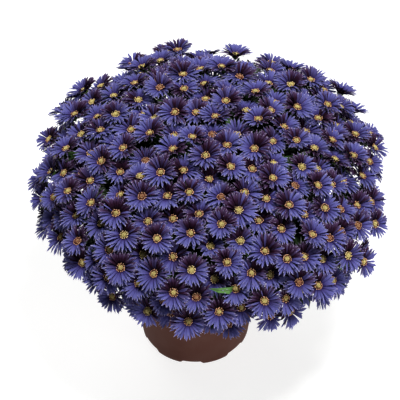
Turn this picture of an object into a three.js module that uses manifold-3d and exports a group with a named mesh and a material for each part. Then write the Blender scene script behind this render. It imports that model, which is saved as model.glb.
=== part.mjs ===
// Potted New York aster: a dome of violet-blue blooms on leafy stems in a plastic nursery pot.
// Millimetres, +Z up, the front of the plant towards -Y.
// The origin is the middle of the pot's underside, on the surface that the pot stands on.
import * as THREE from 'three';
import Module from 'manifold-3d';

// Pot
const POT_FOOT_RADIUS = 56;
const POT_HEIGHT = 134;
const WALL_SLOPE = 0.115;
const WALL_THICKNESS = 1.4;
const FLOOR_THICKNESS = 1.5;
const RIM_RADIUS = 75;
const RIM_BAND = 15;
const RIM_DRAFT = 1;
const NOTCHES = 7;
const NOTCH_HALF_WIDTH = 9.5;
const NOTCH_EDGE = 2.5;
const NOTCH_HEIGHT = 3;
const FRONT_NOTCH_AZIMUTH = -94;
const CHANNEL_START = 25;
const CHANNEL_RAMP = 3;
const CHANNEL_INSET = 0.3;

// Soil
const SEAT_GAP = 0.3;
const SOIL_TOP = 119;
const STEM_DEPTH = 22;
const HOLE_CLEARANCE = 0.6;

// Dome of blooms: the surface that the bloom centres lie on
const DOME_CENTRE = new THREE.Vector3(14, 0, 214);
const DOME_RADIUS = 161;
const DOME_HEIGHT = 90;
const DOME_LOWEST = -0.45;
const SKIRT_TOP = -0.09;
const SKIRT_DENSITY = 0.6;
const BLOOM_COUNT = 300;
const BLOOM_JITTER = 5;
const LEAST_SPACING = 20.5;
const SPACING_ROUNDS = 10;
const LEVELS = 5;
const LEVEL_STEP = 3.1;
const LEVEL_REACH = 30;
const LEVEL_JITTER = 0.5;

// Where the dome swells out or falls in: azimuth in degrees, height from -1 to 1, rise and width
const SWELLS = [
  { azimuth: 16, height: 0.15, rise: 10, width: 13 },
  { azimuth: 76, height: 0.45, rise: -11, width: 14 },
  { azimuth: 132, height: 0.36, rise: -9, width: 9 },
  { azimuth: 149, height: 0.26, rise: 9, width: 8 },
  { azimuth: 172, height: 0.07, rise: -6, width: 9 },
  { azimuth: 188, height: -0.09, rise: 9, width: 9 },
  { azimuth: 208, height: -0.23, rise: -11, width: 13 },
  { azimuth: 230, height: -0.37, rise: -11, width: 10 },
  { azimuth: -52, height: -0.38, rise: -6, width: 9 },
  { azimuth: -27, height: -0.24, rise: 12, width: 13 },
  { azimuth: -6, height: -0.05, rise: -14, width: 11 },
];

// Blooms
const BLOOM_RADIUS = 16.8;
const SIZE_SPREAD = 0.1;
const PETALS = 7;
const PETAL_ELEVATION = 19;
const PETAL_ELEVATION_SPREAD = 5;
const TIP_ELEVATION_SPREAD = 4;
const PETAL_LENGTH_SPREAD = 0.06;
const VALLEY_SHARE = 0.62;
const VALLEY_ELEVATION = 12;
const DISC_SIDES = 4;
const DISC_RADIUS = 4.2;
const DISC_RIM_HEIGHT = 0.9;
const DISC_HEIGHT = 2.3;
const INVOLUCRE_DEPTH = 4;
const INVOLUCRE_RADIUS = 2;
const TURN_TO_LIGHT = 0.9;
const TILT = 0.26;

// Bunches and stems
const BUNCHES = 42;
const STEMS = 14;
const GROWTH_CENTRE = new THREE.Vector3(8, 0, 148);
const BUNCH_DEPTH = 38;
const AXIS_LENGTH = 13;
const AXIS_RADIUS = 1.7;
const AXIS_TAPER = 0.9;
const PEDICEL_RADIUS = 1.1;
const STEM_RADIUS = 2.8;
const STEM_TAPER = 0.9;
const BRANCH_RADIUS = 2;
const SOIL_SPREAD = 44;
const STRAIGHT_RISE = 4;
const FORK_SHARE = 0.42;
const FORK_LENGTH = 10;
const LEAF_NODE_SHARE = 0.62;
const LOW_NODE_SHARE = 0.3;
const BRANCH_PULL = 0.4;

// Leaves
const LEAF_NODE_HEIGHT = 8;
const BRANCH_LEAVES = 4;
const LOW_LEAVES = 3;
const LOW_LEAF_LENGTH = 42;
const LEAF_LENGTH = 30;
const LEAF_LENGTH_SPREAD = 6;
const LEAF_WIDTH = 6.4;
const LEAF_KEEL = 1.1;
const LEAF_WIDEST = 0.45;
const LEAF_DROOP = 0.25;
const LEAF_ROOT_CLEAR = 0.3;
const LEAF_SHARES = [1, 0.85, 0.7];
const LEAF_LEANS = [0.8, 0.5, 1.2, 0.3, 1.8];
const SIDE_ORDER = [0, 3, 4, 1, 2, 5];

const SEED = 2738;
const CLEARANCE = 0.35;
const CELL = 12;
const GOLDEN_ANGLE = Math.PI * (3 - Math.sqrt(5));
const UP = new THREE.Vector3(0, 0, 1);
const RADIANS = Math.PI / 180;
const RING_TWIST = 60 * RADIANS;

const COLOURS = {
  pot: { color: 0x51382f, roughness: 0.55, metalness: 0 },
  soil: { color: 0x2b2019, roughness: 0.95, metalness: 0 },
  stem: { color: 0x45653a, roughness: 0.7, metalness: 0 },
  blooms: { color: 0x666aad, roughness: 0.7, metalness: 0 },
};

class Random {
  constructor(seed) {
    this.state = seed >>> 0;
  }

  next() {
    this.state = (Math.imul(this.state, 1664525) + 1013904223) >>> 0;
    return this.state / 4294967296;
  }

  between(low, high) {
    return low + (high - low) * this.next();
  }

  vector(size) {
    const part = () => this.between(-size, size);
    return new THREE.Vector3(part(), part(), part());
  }
}

const random = new Random(SEED);

function along(point, heading, distance) {
  return point.clone().addScaledVector(heading, distance);
}

function direction(from, to) {
  return to.clone().sub(from).normalize();
}

function centroid(points) {
  const sum = new THREE.Vector3();
  for (const point of points) {
    sum.add(point);
  }
  return sum.divideScalar(points.length);
}

// A unit vector square to the axis, as near as can be to the hint
function squareTo(axis, hint) {
  const side = hint.clone().addScaledVector(axis, -hint.dot(axis));
  if (side.lengthSq() < 1e-6) {
    return squareTo(axis, new THREE.Vector3(axis.y, axis.z, axis.x));
  }
  return side.normalize();
}

// Clearance between triangles

function segmentGap(p, q, r, s) {
  const u = q.clone().sub(p);
  const v = s.clone().sub(r);
  const w = p.clone().sub(r);
  const a = u.dot(u);
  const b = u.dot(v);
  const c = v.dot(v);
  const d = u.dot(w);
  const e = v.dot(w);
  const spread = a * c - b * b;
  let t = spread > 1e-9 ? THREE.MathUtils.clamp((b * e - c * d) / spread, 0, 1) : 0;
  let k = (b * t + e) / c;
  if (k < 0 || k > 1) {
    k = THREE.MathUtils.clamp(k, 0, 1);
    t = THREE.MathUtils.clamp((b * k - d) / a, 0, 1);
  }
  return along(p, u, t).distanceTo(along(r, v, k));
}

// Whether the segment passes through the inside of the triangle
function pierces(start, end, [a, b, c]) {
  const margin = 1e-5;
  const first = b.clone().sub(a);
  const second = c.clone().sub(a);
  const run = end.clone().sub(start);
  const across = run.clone().cross(second);
  const scale = first.dot(across);
  if (Math.abs(scale) < 1e-9) {
    return false;
  }
  const offset = start.clone().sub(a);
  const u = offset.dot(across) / scale;
  const turned = offset.cross(first);
  const v = run.dot(turned) / scale;
  const t = second.dot(turned) / scale;
  return u > margin && v > margin && u + v < 1 - margin && t > margin && t < 1 - margin;
}

function trianglesCross(first, second) {
  return [0, 1, 2].some((k) => {
    const next = (k + 1) % 3;
    return pierces(first[k], first[next], second) || pierces(second[k], second[next], first);
  });
}

function crossThemselves(triangles) {
  return triangles.some((one, index) => (
    triangles.slice(index + 1).some((other) => trianglesCross(one, other))));
}

function cornersNear(corners, triangle, gap) {
  const near = new THREE.Vector3();
  return corners.some((corner) => {
    triangle.closestPointToPoint(corner, near);
    return near.distanceTo(corner) < gap;
  });
}

function trianglesMeet(first, second, gap) {
  if (trianglesCross(first.corners, second.corners)
    || cornersNear(first.corners, second.triangle, gap)
    || cornersNear(second.corners, first.triangle, gap)) {
    return true;
  }
  for (let k = 0; k < 3; k += 1) {
    for (let m = 0; m < 3; m += 1) {
      const gapHere = segmentGap(first.corners[k], first.corners[(k + 1) % 3],
        second.corners[m], second.corners[(m + 1) % 3]);
      if (gapHere < gap) {
        return true;
      }
    }
  }
  return false;
}

// Everything laid so far, in cells, so that new growth can be kept clear of it
class Thicket {
  constructor(cell) {
    this.cell = cell;
    this.cells = new Map();
  }

  entry(corners, owner) {
    const box = new THREE.Box3().setFromPoints(corners).expandByScalar(CLEARANCE);
    return { corners, owner, box, triangle: new THREE.Triangle(...corners) };
  }

  keys(box) {
    const keys = [];
    const low = box.min.clone().divideScalar(this.cell).floor();
    const high = box.max.clone().divideScalar(this.cell).floor();
    for (let x = low.x; x <= high.x; x += 1) {
      for (let y = low.y; y <= high.y; y += 1) {
        for (let z = low.z; z <= high.z; z += 1) {
          keys.push(`${x},${y},${z}`);
        }
      }
    }
    return keys;
  }

  add(triangles, owner) {
    for (const corners of triangles) {
      const entry = this.entry(corners, owner);
      for (const key of this.keys(entry.box)) {
        if (!this.cells.has(key)) {
          this.cells.set(key, []);
        }
        this.cells.get(key).push(entry);
      }
    }
  }

  // Whether the triangles come too close to anything. What joins them may touch but not cross
  // them, and what is theirs is left out.
  meets(triangles, joined = () => false, theirs = () => false) {
    return triangles.some((corners) => {
      const entry = this.entry(corners, null);
      return this.keys(entry.box).some((key) => (this.cells.get(key) ?? []).some((other) => {
        if (theirs(other.owner) || !other.box.intersectsBox(entry.box)) {
          return false;
        }
        return joined(other.owner)
          ? trianglesCross(corners, other.corners)
          : trianglesMeet(entry, other, CLEARANCE);
      }));
    });
  }
}

const thicket = new Thicket(CELL);

// A closed body that grows by pulling one of its three-cornered faces outwards
class Growth {
  constructor(ring) {
    this.points = [...ring];
    this.faces = [[0, 2, 1], [0, 1, 2]];
  }

  corners(face) {
    return face.map((index) => this.points[index]);
  }

  drop(face) {
    this.faces.splice(this.faces.indexOf(face), 1);
  }

  // Pulls the face out to three new points and returns the new end face and the side faces
  pull(face, ring) {
    const start = this.points.length;
    this.drop(face);
    this.points.push(...ring);
    const sides = [];
    for (let k = 0; k < 3; k += 1) {
      const [a, b] = [face[k], face[(k + 1) % 3]];
      const [c, d] = [start + k, start + (k + 1) % 3];
      const across = this.points[a].distanceTo(this.points[d]);
      const other = this.points[b].distanceTo(this.points[c]);
      const pair = across <= other ? [[a, b, d], [a, d, c]] : [[a, b, c], [b, d, c]];
      sides.push(...pair);
    }
    const end = [start, start + 1, start + 2];
    this.faces.push(...sides, end);
    return { end, sides };
  }

  // Closes the face to a single point
  close(face, tip) {
    const [a, b, c] = face;
    const end = this.points.length;
    this.drop(face);
    this.points.push(tip);
    this.faces.push([a, b, end], [b, c, end], [c, a, end]);
  }

  // Pulls the face to a ring of even corners round a centre
  reach(face, centre, axis, radius, twist = 0) {
    const corners = this.corners(face);
    const hint = corners[0].clone().sub(centroid(corners));
    return this.pull(face, ringAt(centre, axis, radius, hint, twist));
  }

  normal(face) {
    return new THREE.Triangle(...this.corners(face)).getNormal(new THREE.Vector3());
  }

  triangles(faces = this.faces) {
    return faces.map((face) => this.corners(face));
  }
}

function ringAt(centre, axis, radius, hint, twist = 0) {
  const first = squareTo(axis, hint).applyAxisAngle(axis, twist);
  const second = axis.clone().cross(first);
  return [0, 1, 2].map((k) => {
    const turn = k * 120 * RADIANS;
    const place = along(centre, first, radius * Math.cos(turn));
    return along(place, second, radius * Math.sin(turn));
  });
}

// Dome

function domePoint(unit, lift) {
  const place = DOME_CENTRE.clone();
  place.x += DOME_RADIUS * unit.x;
  place.y += DOME_RADIUS * unit.y;
  place.z += DOME_HEIGHT * unit.z;
  return along(place, domeNormal(unit), lift + swell(unit));
}

function swell(unit) {
  return SWELLS.reduce((sum, { azimuth, height, rise, width }) => {
    const turn = azimuth * RADIANS;
    const level = Math.sqrt(1 - height ** 2);
    const middle = new THREE.Vector3(level * Math.cos(turn), level * Math.sin(turn), height);
    const away = unit.angleTo(middle) / (width * RADIANS);
    return sum + rise * Math.exp(-away * away / 2);
  }, 0);
}

function domeNormal(unit) {
  return new THREE.Vector3(unit.x / DOME_RADIUS, unit.y / DOME_RADIUS, unit.z / DOME_HEIGHT)
    .normalize();
}

function domeUnit(point) {
  const unit = point.clone().sub(DOME_CENTRE);
  unit.set(unit.x / DOME_RADIUS, unit.y / DOME_RADIUS, unit.z / DOME_HEIGHT).normalize();
  if (unit.z < DOME_LOWEST) {
    const level = Math.hypot(unit.x, unit.y);
    const scale = Math.sqrt(1 - DOME_LOWEST ** 2) / level;
    unit.set(unit.x * scale, unit.y * scale, DOME_LOWEST);
  }
  return unit;
}

// Directions spread evenly over the dome on a golden-angle spiral, thinner in the skirt
function spiral(count) {
  const bands = 600;
  const flattening = DOME_RADIUS ** 2 - DOME_HEIGHT ** 2;
  const sums = [0];
  const heightAt = (share) => 1 - (1 - DOME_LOWEST) * share;
  for (let band = 0; band < bands; band += 1) {
    const height = heightAt((band + 0.5) / bands);
    const density = height < SKIRT_TOP ? SKIRT_DENSITY : 1;
    sums.push(sums[band] + density * Math.sqrt(DOME_HEIGHT ** 2 + flattening * height ** 2));
  }
  const directions = [];
  let band = 0;
  for (let index = 0; index < count; index += 1) {
    const target = sums[bands] * (index + 0.5) / count;
    while (sums[band + 1] < target) {
      band += 1;
    }
    const part = (target - sums[band]) / (sums[band + 1] - sums[band]);
    const height = heightAt((band + part) / bands);
    const level = Math.sqrt(1 - height ** 2);
    const turn = index * GOLDEN_ANGLE;
    directions.push(new THREE.Vector3(level * Math.cos(turn), level * Math.sin(turn), height));
  }
  return directions;
}

function spread(units) {
  const places = units.map((unit) => domePoint(unit, 0));
  for (let round = 0; round < SPACING_ROUNDS; round += 1) {
    for (let a = 0; a < places.length; a += 1) {
      for (let b = a + 1; b < places.length; b += 1) {
        const gap = places[a].distanceTo(places[b]);
        if (gap < LEAST_SPACING) {
          const push = direction(places[a], places[b]);
          const step = (LEAST_SPACING - gap) / 2;
          places[a].addScaledVector(push, -step);
          places[b].addScaledVector(push, step);
        }
      }
    }
    for (const place of places) {
      place.copy(domePoint(domeUnit(place), 0));
    }
  }
  return places.map(domeUnit);
}

// Neighbouring blooms stand at different levels, so that their rays pass over one another
function chooseLevels(places) {
  const levels = [];
  places.forEach((place, index) => {
    const room = Array(LEVELS).fill(LEVEL_REACH);
    for (let other = 0; other < index; other += 1) {
      const gap = place.distanceTo(places[other]);
      room[levels[other]] = Math.min(room[levels[other]], gap);
    }
    const most = Math.max(...room);
    const free = [...room.keys()].filter((level) => room[level] === most);
    levels.push(free[Math.floor(random.next() * free.length)]);
  });
  return levels;
}

function nearest(point, points) {
  let best = 0;
  points.forEach((other, index) => {
    if (point.distanceTo(other) < point.distanceTo(points[best])) {
      best = index;
    }
  });
  return best;
}

function layBlooms() {
  const loose = spiral(BLOOM_COUNT).map((unit) => {
    const place = domePoint(unit, 0).add(random.vector(BLOOM_JITTER));
    return domeUnit(place);
  });
  const units = spread(loose);
  const places = units.map((unit) => domePoint(unit, 0));
  const levels = chooseLevels(places);
  return units.map((unit, index) => {
    const jitter = random.between(-LEVEL_JITTER, LEVEL_JITTER);
    const lift = (levels[index] - (LEVELS - 1) / 2) * LEVEL_STEP + jitter;
    const facing = domeNormal(unit).addScaledVector(UP, TURN_TO_LIGHT).add(random.vector(TILT));
    const normal = facing.normalize();
    const size = 1 + random.between(-SIZE_SPREAD, SIZE_SPREAD);
    return {
      index,
      level: levels[index],
      unit,
      lift,
      centre: domePoint(unit, lift),
      normal,
      side: squareTo(normal, random.vector(1)),
      radius: BLOOM_RADIUS * size,
      elevation: PETAL_ELEVATION + random.between(-PETAL_ELEVATION_SPREAD, PETAL_ELEVATION_SPREAD),
      tips: [],
    };
  });
}

// Bloom

function rayPoint(bloom, turn, distance, elevation) {
  const heading = bloom.side.clone().applyAxisAngle(bloom.normal, turn);
  const rise = elevation * RADIANS;
  const place = along(bloom.centre, heading, distance * Math.cos(rise));
  return along(place, bloom.normal, distance * Math.sin(rise));
}

function valley(bloom, petal) {
  const turn = (petal - 0.5) * 2 * Math.PI / PETALS;
  return rayPoint(bloom, turn, bloom.radius * VALLEY_SHARE, VALLEY_ELEVATION);
}

function discRim(bloom) {
  return [...Array(DISC_SIDES).keys()].map((k) => {
    const turn = (k + 0.5) * 2 * Math.PI / DISC_SIDES;
    const heading = bloom.side.clone().applyAxisAngle(bloom.normal, turn);
    return along(along(bloom.centre, heading, DISC_RADIUS), bloom.normal, DISC_RIM_HEIGHT);
  });
}

// The corner of the inner ring that each petal springs from, the nearest to it round the axis
function roots(bloom, ring, tips) {
  return tips.map((turn) => {
    const heading = bloom.side.clone().applyAxisAngle(bloom.normal, turn);
    let best = 0;
    ring.forEach((point, index) => {
      const facing = squareTo(bloom.normal, point.clone().sub(bloom.centre)).dot(heading);
      const bestFacing = squareTo(bloom.normal, ring[best].clone().sub(bloom.centre)).dot(heading);
      if (facing > bestFacing) {
        best = index;
      }
    });
    return best;
  });
}

const PETAL_TURNS = [...Array(PETALS).keys()].map((petal) => petal * 2 * Math.PI / PETALS);

function petalTriangles(bloom, petal, tip) {
  const left = bloom.valleys[petal];
  const right = bloom.valleys[(petal + 1) % PETALS];
  const top = bloom.rim[bloom.topRoots[petal]];
  const under = bloom.cup[bloom.underRoots[petal]];
  return [[top, left, tip], [top, tip, right], [under, tip, left], [under, right, tip]];
}

function coreTriangles(bloom) {
  const triangles = [];
  for (let petal = 0; petal < PETALS; petal += 1) {
    const left = bloom.valleys[petal];
    const right = bloom.valleys[(petal + 1) % PETALS];
    triangles.push([bloom.rim[bloom.topRoots[petal]], left, right]);
    triangles.push([bloom.cup[bloom.underRoots[petal]], right, left]);
  }
  bloom.rim.forEach((point, k) => {
    triangles.push([point, bloom.rim[(k + 1) % DISC_SIDES], bloom.apex]);
  });
  return triangles;
}

// The small triangles at a valley, where the petals on its two sides have different roots
function valleyTriangles(bloom) {
  return bloom.valleys.flatMap((right, place) => {
    const petal = (place + PETALS - 1) % PETALS;
    const [top, topNext] = [bloom.topRoots[petal], bloom.topRoots[place]];
    const [under, underNext] = [bloom.underRoots[petal], bloom.underRoots[place]];
    const above = [bloom.rim[top], right, bloom.rim[topNext]];
    const below = [bloom.cup[under], bloom.cup[underNext], right];
    return [...(top === topNext ? [] : [above]), ...(under === underNext ? [] : [below])];
  });
}

// Ways to bend or shorten a petal that would touch its neighbours, the least change first
function petalChoices() {
  const bendCost = 1 / 9;
  const cutCost = 16;
  const choices = [];
  for (const share of [1, 0.92, 0.84, 0.76, 0.68, 0.6]) {
    for (let bend = -44; bend <= 40; bend += 4) {
      const cost = Math.abs(bend) * bendCost + (1 - share) * cutCost;
      choices.push({ share, bend, cost });
    }
  }
  return choices.sort((a, b) => a.cost - b.cost);
}

const PETAL_CHOICES = petalChoices();

// Lays the petals round a bloom; one with no clear way at all stays as short as its valleys
function layPetals(bloom) {
  const tips = PETAL_TURNS.map((turn, petal) => {
    const length = bloom.radius * (1 + random.between(-PETAL_LENGTH_SPREAD, PETAL_LENGTH_SPREAD));
    const bend = random.between(-TIP_ELEVATION_SPREAD, TIP_ELEVATION_SPREAD);
    const elevation = bloom.elevation + bend;
    for (const choice of PETAL_CHOICES) {
      const tip = rayPoint(bloom, turn, length * choice.share, elevation + choice.bend);
      const triangles = petalTriangles(bloom, petal, tip);
      const joined = (owner) => owner === bloom.stalk || owner === bloom.tips;
      const clear = !thicket.meets(triangles, joined, (owner) => owner === bloom);
      if (clear && !crossThemselves(triangles)) {
        thicket.add(triangles, bloom.tips);
        return tip;
      }
    }
    return centroid([bloom.valleys[petal], bloom.valleys[(petal + 1) % PETALS]]);
  });
  bloom.tips.push(...tips);
}

function growBloom(body, end, bloom) {
  const start = body.points.length;
  body.drop(end);
  for (let petal = 0; petal < PETALS; petal += 1) {
    body.points.push(bloom.valleys[petal], bloom.tips[petal]);
  }
  const rimStart = body.points.length;
  body.points.push(...bloom.rim, bloom.apex);
  const apex = rimStart + DISC_SIDES;
  for (let petal = 0; petal < PETALS; petal += 1) {
    const left = start + petal * 2;
    const tip = left + 1;
    const next = (petal + 1) % PETALS;
    const right = start + next * 2;
    const top = rimStart + bloom.topRoots[petal];
    const topNext = rimStart + bloom.topRoots[next];
    const under = end[bloom.underRoots[petal]];
    const underNext = end[bloom.underRoots[next]];
    body.faces.push([top, left, tip], [top, tip, right], [under, tip, left], [under, right, tip]);
    if (top !== topNext) {
      body.faces.push([top, right, topNext]);
    }
    if (under !== underNext) {
      body.faces.push([under, underNext, right]);
    }
  }
  for (let k = 0; k < DISC_SIDES; k += 1) {
    body.faces.push([rimStart + k, rimStart + (k + 1) % DISC_SIDES, apex]);
  }
}

// Bunch of blooms: a short flowering branch with a pedicel to each bloom

function bunchAxis(surface) {
  const heading = direction(GROWTH_CENTRE, surface);
  const base = along(surface, heading, -BUNCH_DEPTH);
  return { base, heading };
}

function matched(corners, ring) {
  const middle = centroid(corners);
  const ringMiddle = centroid(ring);
  const misfit = (turn) => corners.reduce((sum, corner, k) => {
    const place = ring[(k + turn) % 3].clone().sub(ringMiddle).normalize();
    return sum + place.distanceToSquared(corner.clone().sub(middle).normalize());
  }, 0);
  const turn = [0, 1, 2].sort((a, b) => misfit(a) - misfit(b))[0];
  return [0, 1, 2].map((k) => ring[(k + turn) % 3]);
}

function frontFace(body, faces, heading) {
  let best = null;
  let bestFacing = -2;
  for (const face of faces) {
    const facing = body.normal(face).dot(heading);
    if (facing > bestFacing) {
      best = face;
      bestFacing = facing;
    }
  }
  return best;
}

// Heights along a bunch's axis run from 0 to 1, and its end face counts as a little above
const END_PLACE = 1.2;
const FACING_WEIGHT = 1.5;

function growAxis(bunch) {
  const { base, heading, blooms } = bunch;
  const body = new Growth(ringAt(base, heading, AXIS_RADIUS, UP));
  const rows = Math.max(1, Math.ceil((blooms.length - 1) / 3));
  let end = body.faces[1];
  bunch.free = [];
  for (let row = 0; row < rows; row += 1) {
    const centre = along(base, heading, AXIS_LENGTH * (row + 1) / rows);
    const grown = body.reach(end, centre, heading, AXIS_RADIUS * AXIS_TAPER, RING_TWIST);
    end = grown.end;
    bunch.free.push(...grown.sides.map((face) => ({ face, place: (row + 0.5) / rows })));
  }
  bunch.free.push({ face: end, place: END_PLACE });
  bunch.body = body;
}

// The bunch's free faces, those that look towards the bloom from the right height first
function footholds(bunch, bloom, place) {
  const { body, free } = bunch;
  const misfit = (hold) => {
    const heading = direction(centroid(body.corners(hold.face)), bloom.foot);
    return Math.abs(hold.place - place) - FACING_WEIGHT * body.normal(hold.face).dot(heading);
  };
  return free.map((hold) => ({ hold, cost: misfit(hold) })).sort((a, b) => a.cost - b.cost)
    .map(({ hold }) => hold);
}

// Ways for a pedicel to leave the axis: straight, or first outwards by so far at such a lean
const PEDICEL_WAYS = [null, [5, 0.7], [7, 0.3], [8, 1.2], [10, 0], [12, 0.7], [14, 1.6], [16, 0.2],
  [20, 0.8]];

function growPedicel(body, face, bunch, bloom, way) {
  let { end, sides } = { end: face, sides: [] };
  if (way) {
    const [reach, lean] = way;
    const heading = body.normal(face).addScaledVector(bunch.heading, lean).normalize();
    const knee = along(centroid(body.corners(face)), heading, reach);
    const towards = direction(knee, bloom.foot).add(heading).normalize();
    ({ end, sides } = body.reach(face, knee, towards, PEDICEL_RADIUS));
  }
  const cup = matched(body.corners(end), bloom.cup);
  const grown = body.pull(end, cup);
  return { end: grown.end, sides: [...sides, ...grown.sides], cup };
}

function pedicelFits(bunch, bloom, { face }, way) {
  const trial = new Growth(bunch.body.corners(face));
  const { sides } = growPedicel(trial, trial.faces[1], bunch, bloom, way);
  const triangles = trial.triangles(sides);
  const sameBunch = (owner) => owner.bunch === bunch;
  const own = (owner) => owner === bloom;
  return !crossThemselves(triangles) && !thicket.meets(triangles, sameBunch, own);
}

function growPedicels(bunch) {
  const { base, heading, blooms, body } = bunch;
  const slant = (bloom) => direction(base, bloom.foot).dot(heading);
  const ordered = [...blooms].sort((a, b) => slant(a) - slant(b));
  bunch.pedicels = ordered.flatMap((bloom, rank) => {
    const place = (rank + 0.5) / ordered.length;
    const holds = footholds(bunch, bloom, place);
    const ways = PEDICEL_WAYS.flatMap((way) => holds.map((hold) => ({ hold, way })));
    const chosen = ways.find(({ hold, way }) => pedicelFits(bunch, bloom, hold, way));
    if (!chosen) {
      return [];
    }
    const { hold, way } = chosen;
    bunch.free.splice(bunch.free.indexOf(hold), 1);
    const grown = growPedicel(body, hold.face, bunch, bloom, way);
    bloom.cup = grown.cup;
    bloom.stalk = { bunch, bloom };
    thicket.add(body.triangles(grown.sides), bloom.stalk);
    return [{ bloom, end: grown.end }];
  });
}

function finishBunch(bunch) {
  for (const { bloom, end } of bunch.pedicels) {
    growBloom(bunch.body, end, bloom);
  }
}

function shapeCore(bloom) {
  bloom.foot = along(bloom.centre, bloom.normal, -INVOLUCRE_DEPTH);
  bloom.cup = ringAt(bloom.foot, bloom.normal, INVOLUCRE_RADIUS, bloom.side);
  bloom.rim = discRim(bloom);
  bloom.apex = along(bloom.centre, bloom.normal, DISC_HEIGHT);
  bloom.valleys = PETAL_TURNS.map((turn, petal) => valley(bloom, petal));
  rootPetals(bloom);
}

function rootPetals(bloom) {
  bloom.topRoots = roots(bloom, bloom.rim, PETAL_TURNS);
  bloom.underRoots = roots(bloom, bloom.cup, PETAL_TURNS);
}

// Ways to seat a bloom's middle: a change of lift, a tilt to the dome's normal and a size
const MOVES = [[0, 0], [2, 0], [-2, 0], [0, 0.6], [4, 0.3], [-4, 0.3], [6, 0.6], [-6, 0.6], [0, 2]];
const SETTLING = [1, 0.9, 0.8, 0.7].flatMap((size) => MOVES.map((move) => [...move, size]));

// Moves, tilts or shrinks a bloom's middle where it would touch another's
function settle(bloom) {
  const { lift, normal, radius } = bloom;
  for (const [change, tilt, size] of SETTLING) {
    bloom.centre = domePoint(bloom.unit, lift + change);
    bloom.normal = normal.clone().addScaledVector(domeNormal(bloom.unit), tilt).normalize();
    bloom.side = squareTo(bloom.normal, bloom.side);
    bloom.radius = radius * size;
    shapeCore(bloom);
    if (!thicket.meets(coreTriangles(bloom))) {
      break;
    }
  }
  thicket.add(coreTriangles(bloom), bloom);
}

// Gives each bloom to the nearest bunch
function gatherBunches(blooms) {
  const bunches = spiral(BUNCHES).map((unit) => {
    const surface = domePoint(unit, 0);
    return { surface, blooms: [], ...bunchAxis(surface) };
  });
  const surfaces = bunches.map((bunch) => bunch.surface);
  for (const bloom of blooms) {
    bunches[nearest(bloom.centre, surfaces)].blooms.push(bloom);
  }
  return bunches;
}

// Seats the middles of the blooms, grows a pedicel to each, then lays the petals round them. A
// bloom that no pedicel can reach is left out.
function growBunches() {
  const blooms = layBlooms();
  const fromTheTop = [...blooms].sort((a, b) => b.level - a.level || a.index - b.index);
  for (const bloom of fromTheTop) {
    settle(bloom);
  }
  const bunches = gatherBunches(blooms);
  for (const bunch of bunches) {
    growAxis(bunch);
    thicket.add(bunch.body.triangles(), { bunch });
  }
  for (const bunch of bunches) {
    growPedicels(bunch);
  }
  const seated = fromTheTop.filter(({ stalk }) => stalk);
  for (const bloom of seated) {
    rootPetals(bloom);
    thicket.add(valleyTriangles(bloom), bloom.tips);
  }
  for (const bloom of seated) {
    layPetals(bloom);
  }
  for (const bunch of bunches) {
    finishBunch(bunch);
  }
  return bunches;
}

// Stems: each rises from the soil and forks into one branch for each of its bunches

function soilPlace(surface) {
  const unit = domeUnit(surface);
  const furthest = Math.acos(DOME_LOWEST);
  const reach = SOIL_SPREAD * Math.acos(unit.z) / furthest;
  const level = Math.hypot(unit.x, unit.y);
  return new THREE.Vector3(reach * unit.x / level, reach * unit.y / level, 0);
}

function growStem(stem) {
  const foot = stem.place.clone().setZ(SOIL_TOP - STEM_DEPTH);
  const rise = stem.place.clone().setZ(SOIL_TOP + STRAIGHT_RISE);
  const goal = centroid(stem.bunches.map((bunch) => bunch.base));
  const fork = rise.clone().lerp(goal, FORK_SHARE);
  const heading = direction(rise, fork);
  const footRing = ringAt(foot, UP, STEM_RADIUS, stem.place);
  const body = new Growth(footRing);
  const low = along(rise, heading, LOW_NODE_SHARE * rise.distanceTo(fork));
  const high = along(low, heading, LEAF_NODE_HEIGHT);
  let grown = body.reach(body.faces[1], rise, UP, STEM_RADIUS);
  grown = body.reach(grown.end, low, heading, STEM_RADIUS);
  grown = body.reach(grown.end, high, heading, STEM_RADIUS * STEM_TAPER, RING_TWIST);
  const lowNode = { sides: grown.sides, heading, leaves: LOW_LEAVES, length: LOW_LEAF_LENGTH };
  grown = body.reach(grown.end, fork, heading, STEM_RADIUS * STEM_TAPER);
  const top = along(fork, heading, FORK_LENGTH);
  grown = body.reach(grown.end, top, heading, BRANCH_RADIUS, RING_TWIST);
  const bend = (bunch) => direction(top, bunch.base).dot(heading);
  const ordered = [...stem.bunches].sort((a, b) => bend(b) - bend(a));
  const sides = [...grown.sides];
  stem.nodes = ordered.map((bunch, rank) => {
    let face = grown.end;
    if (rank > 0) {
      face = frontFace(body, sides, direction(fork, bunch.base));
      sides.splice(sides.indexOf(face), 1);
    }
    return growBranch(body, face, bunch);
  });
  stem.nodes.push(lowNode);
  stem.body = body;
}

function growBranch(body, face, bunch) {
  const start = centroid(body.corners(face));
  const end = along(bunch.base, bunch.heading, -SEAT_GAP);
  const reach = start.distanceTo(end);
  const pull = along(end, bunch.heading, -reach * BRANCH_PULL);
  const route = new THREE.QuadraticBezierCurve3(start, pull, end);
  const low = LEAF_NODE_SHARE;
  const high = low + LEAF_NODE_HEIGHT / reach;
  let grown = body.reach(face, route.getPointAt(low), route.getTangentAt(low), BRANCH_RADIUS);
  grown = body.reach(grown.end, route.getPointAt(high), route.getTangentAt(high),
    BRANCH_RADIUS, RING_TWIST);
  const heading = route.getTangentAt(high);
  const node = { sides: grown.sides, heading, leaves: BRANCH_LEAVES, length: LEAF_LENGTH };
  body.reach(grown.end, end, bunch.heading, AXIS_RADIUS);
  return node;
}

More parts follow.
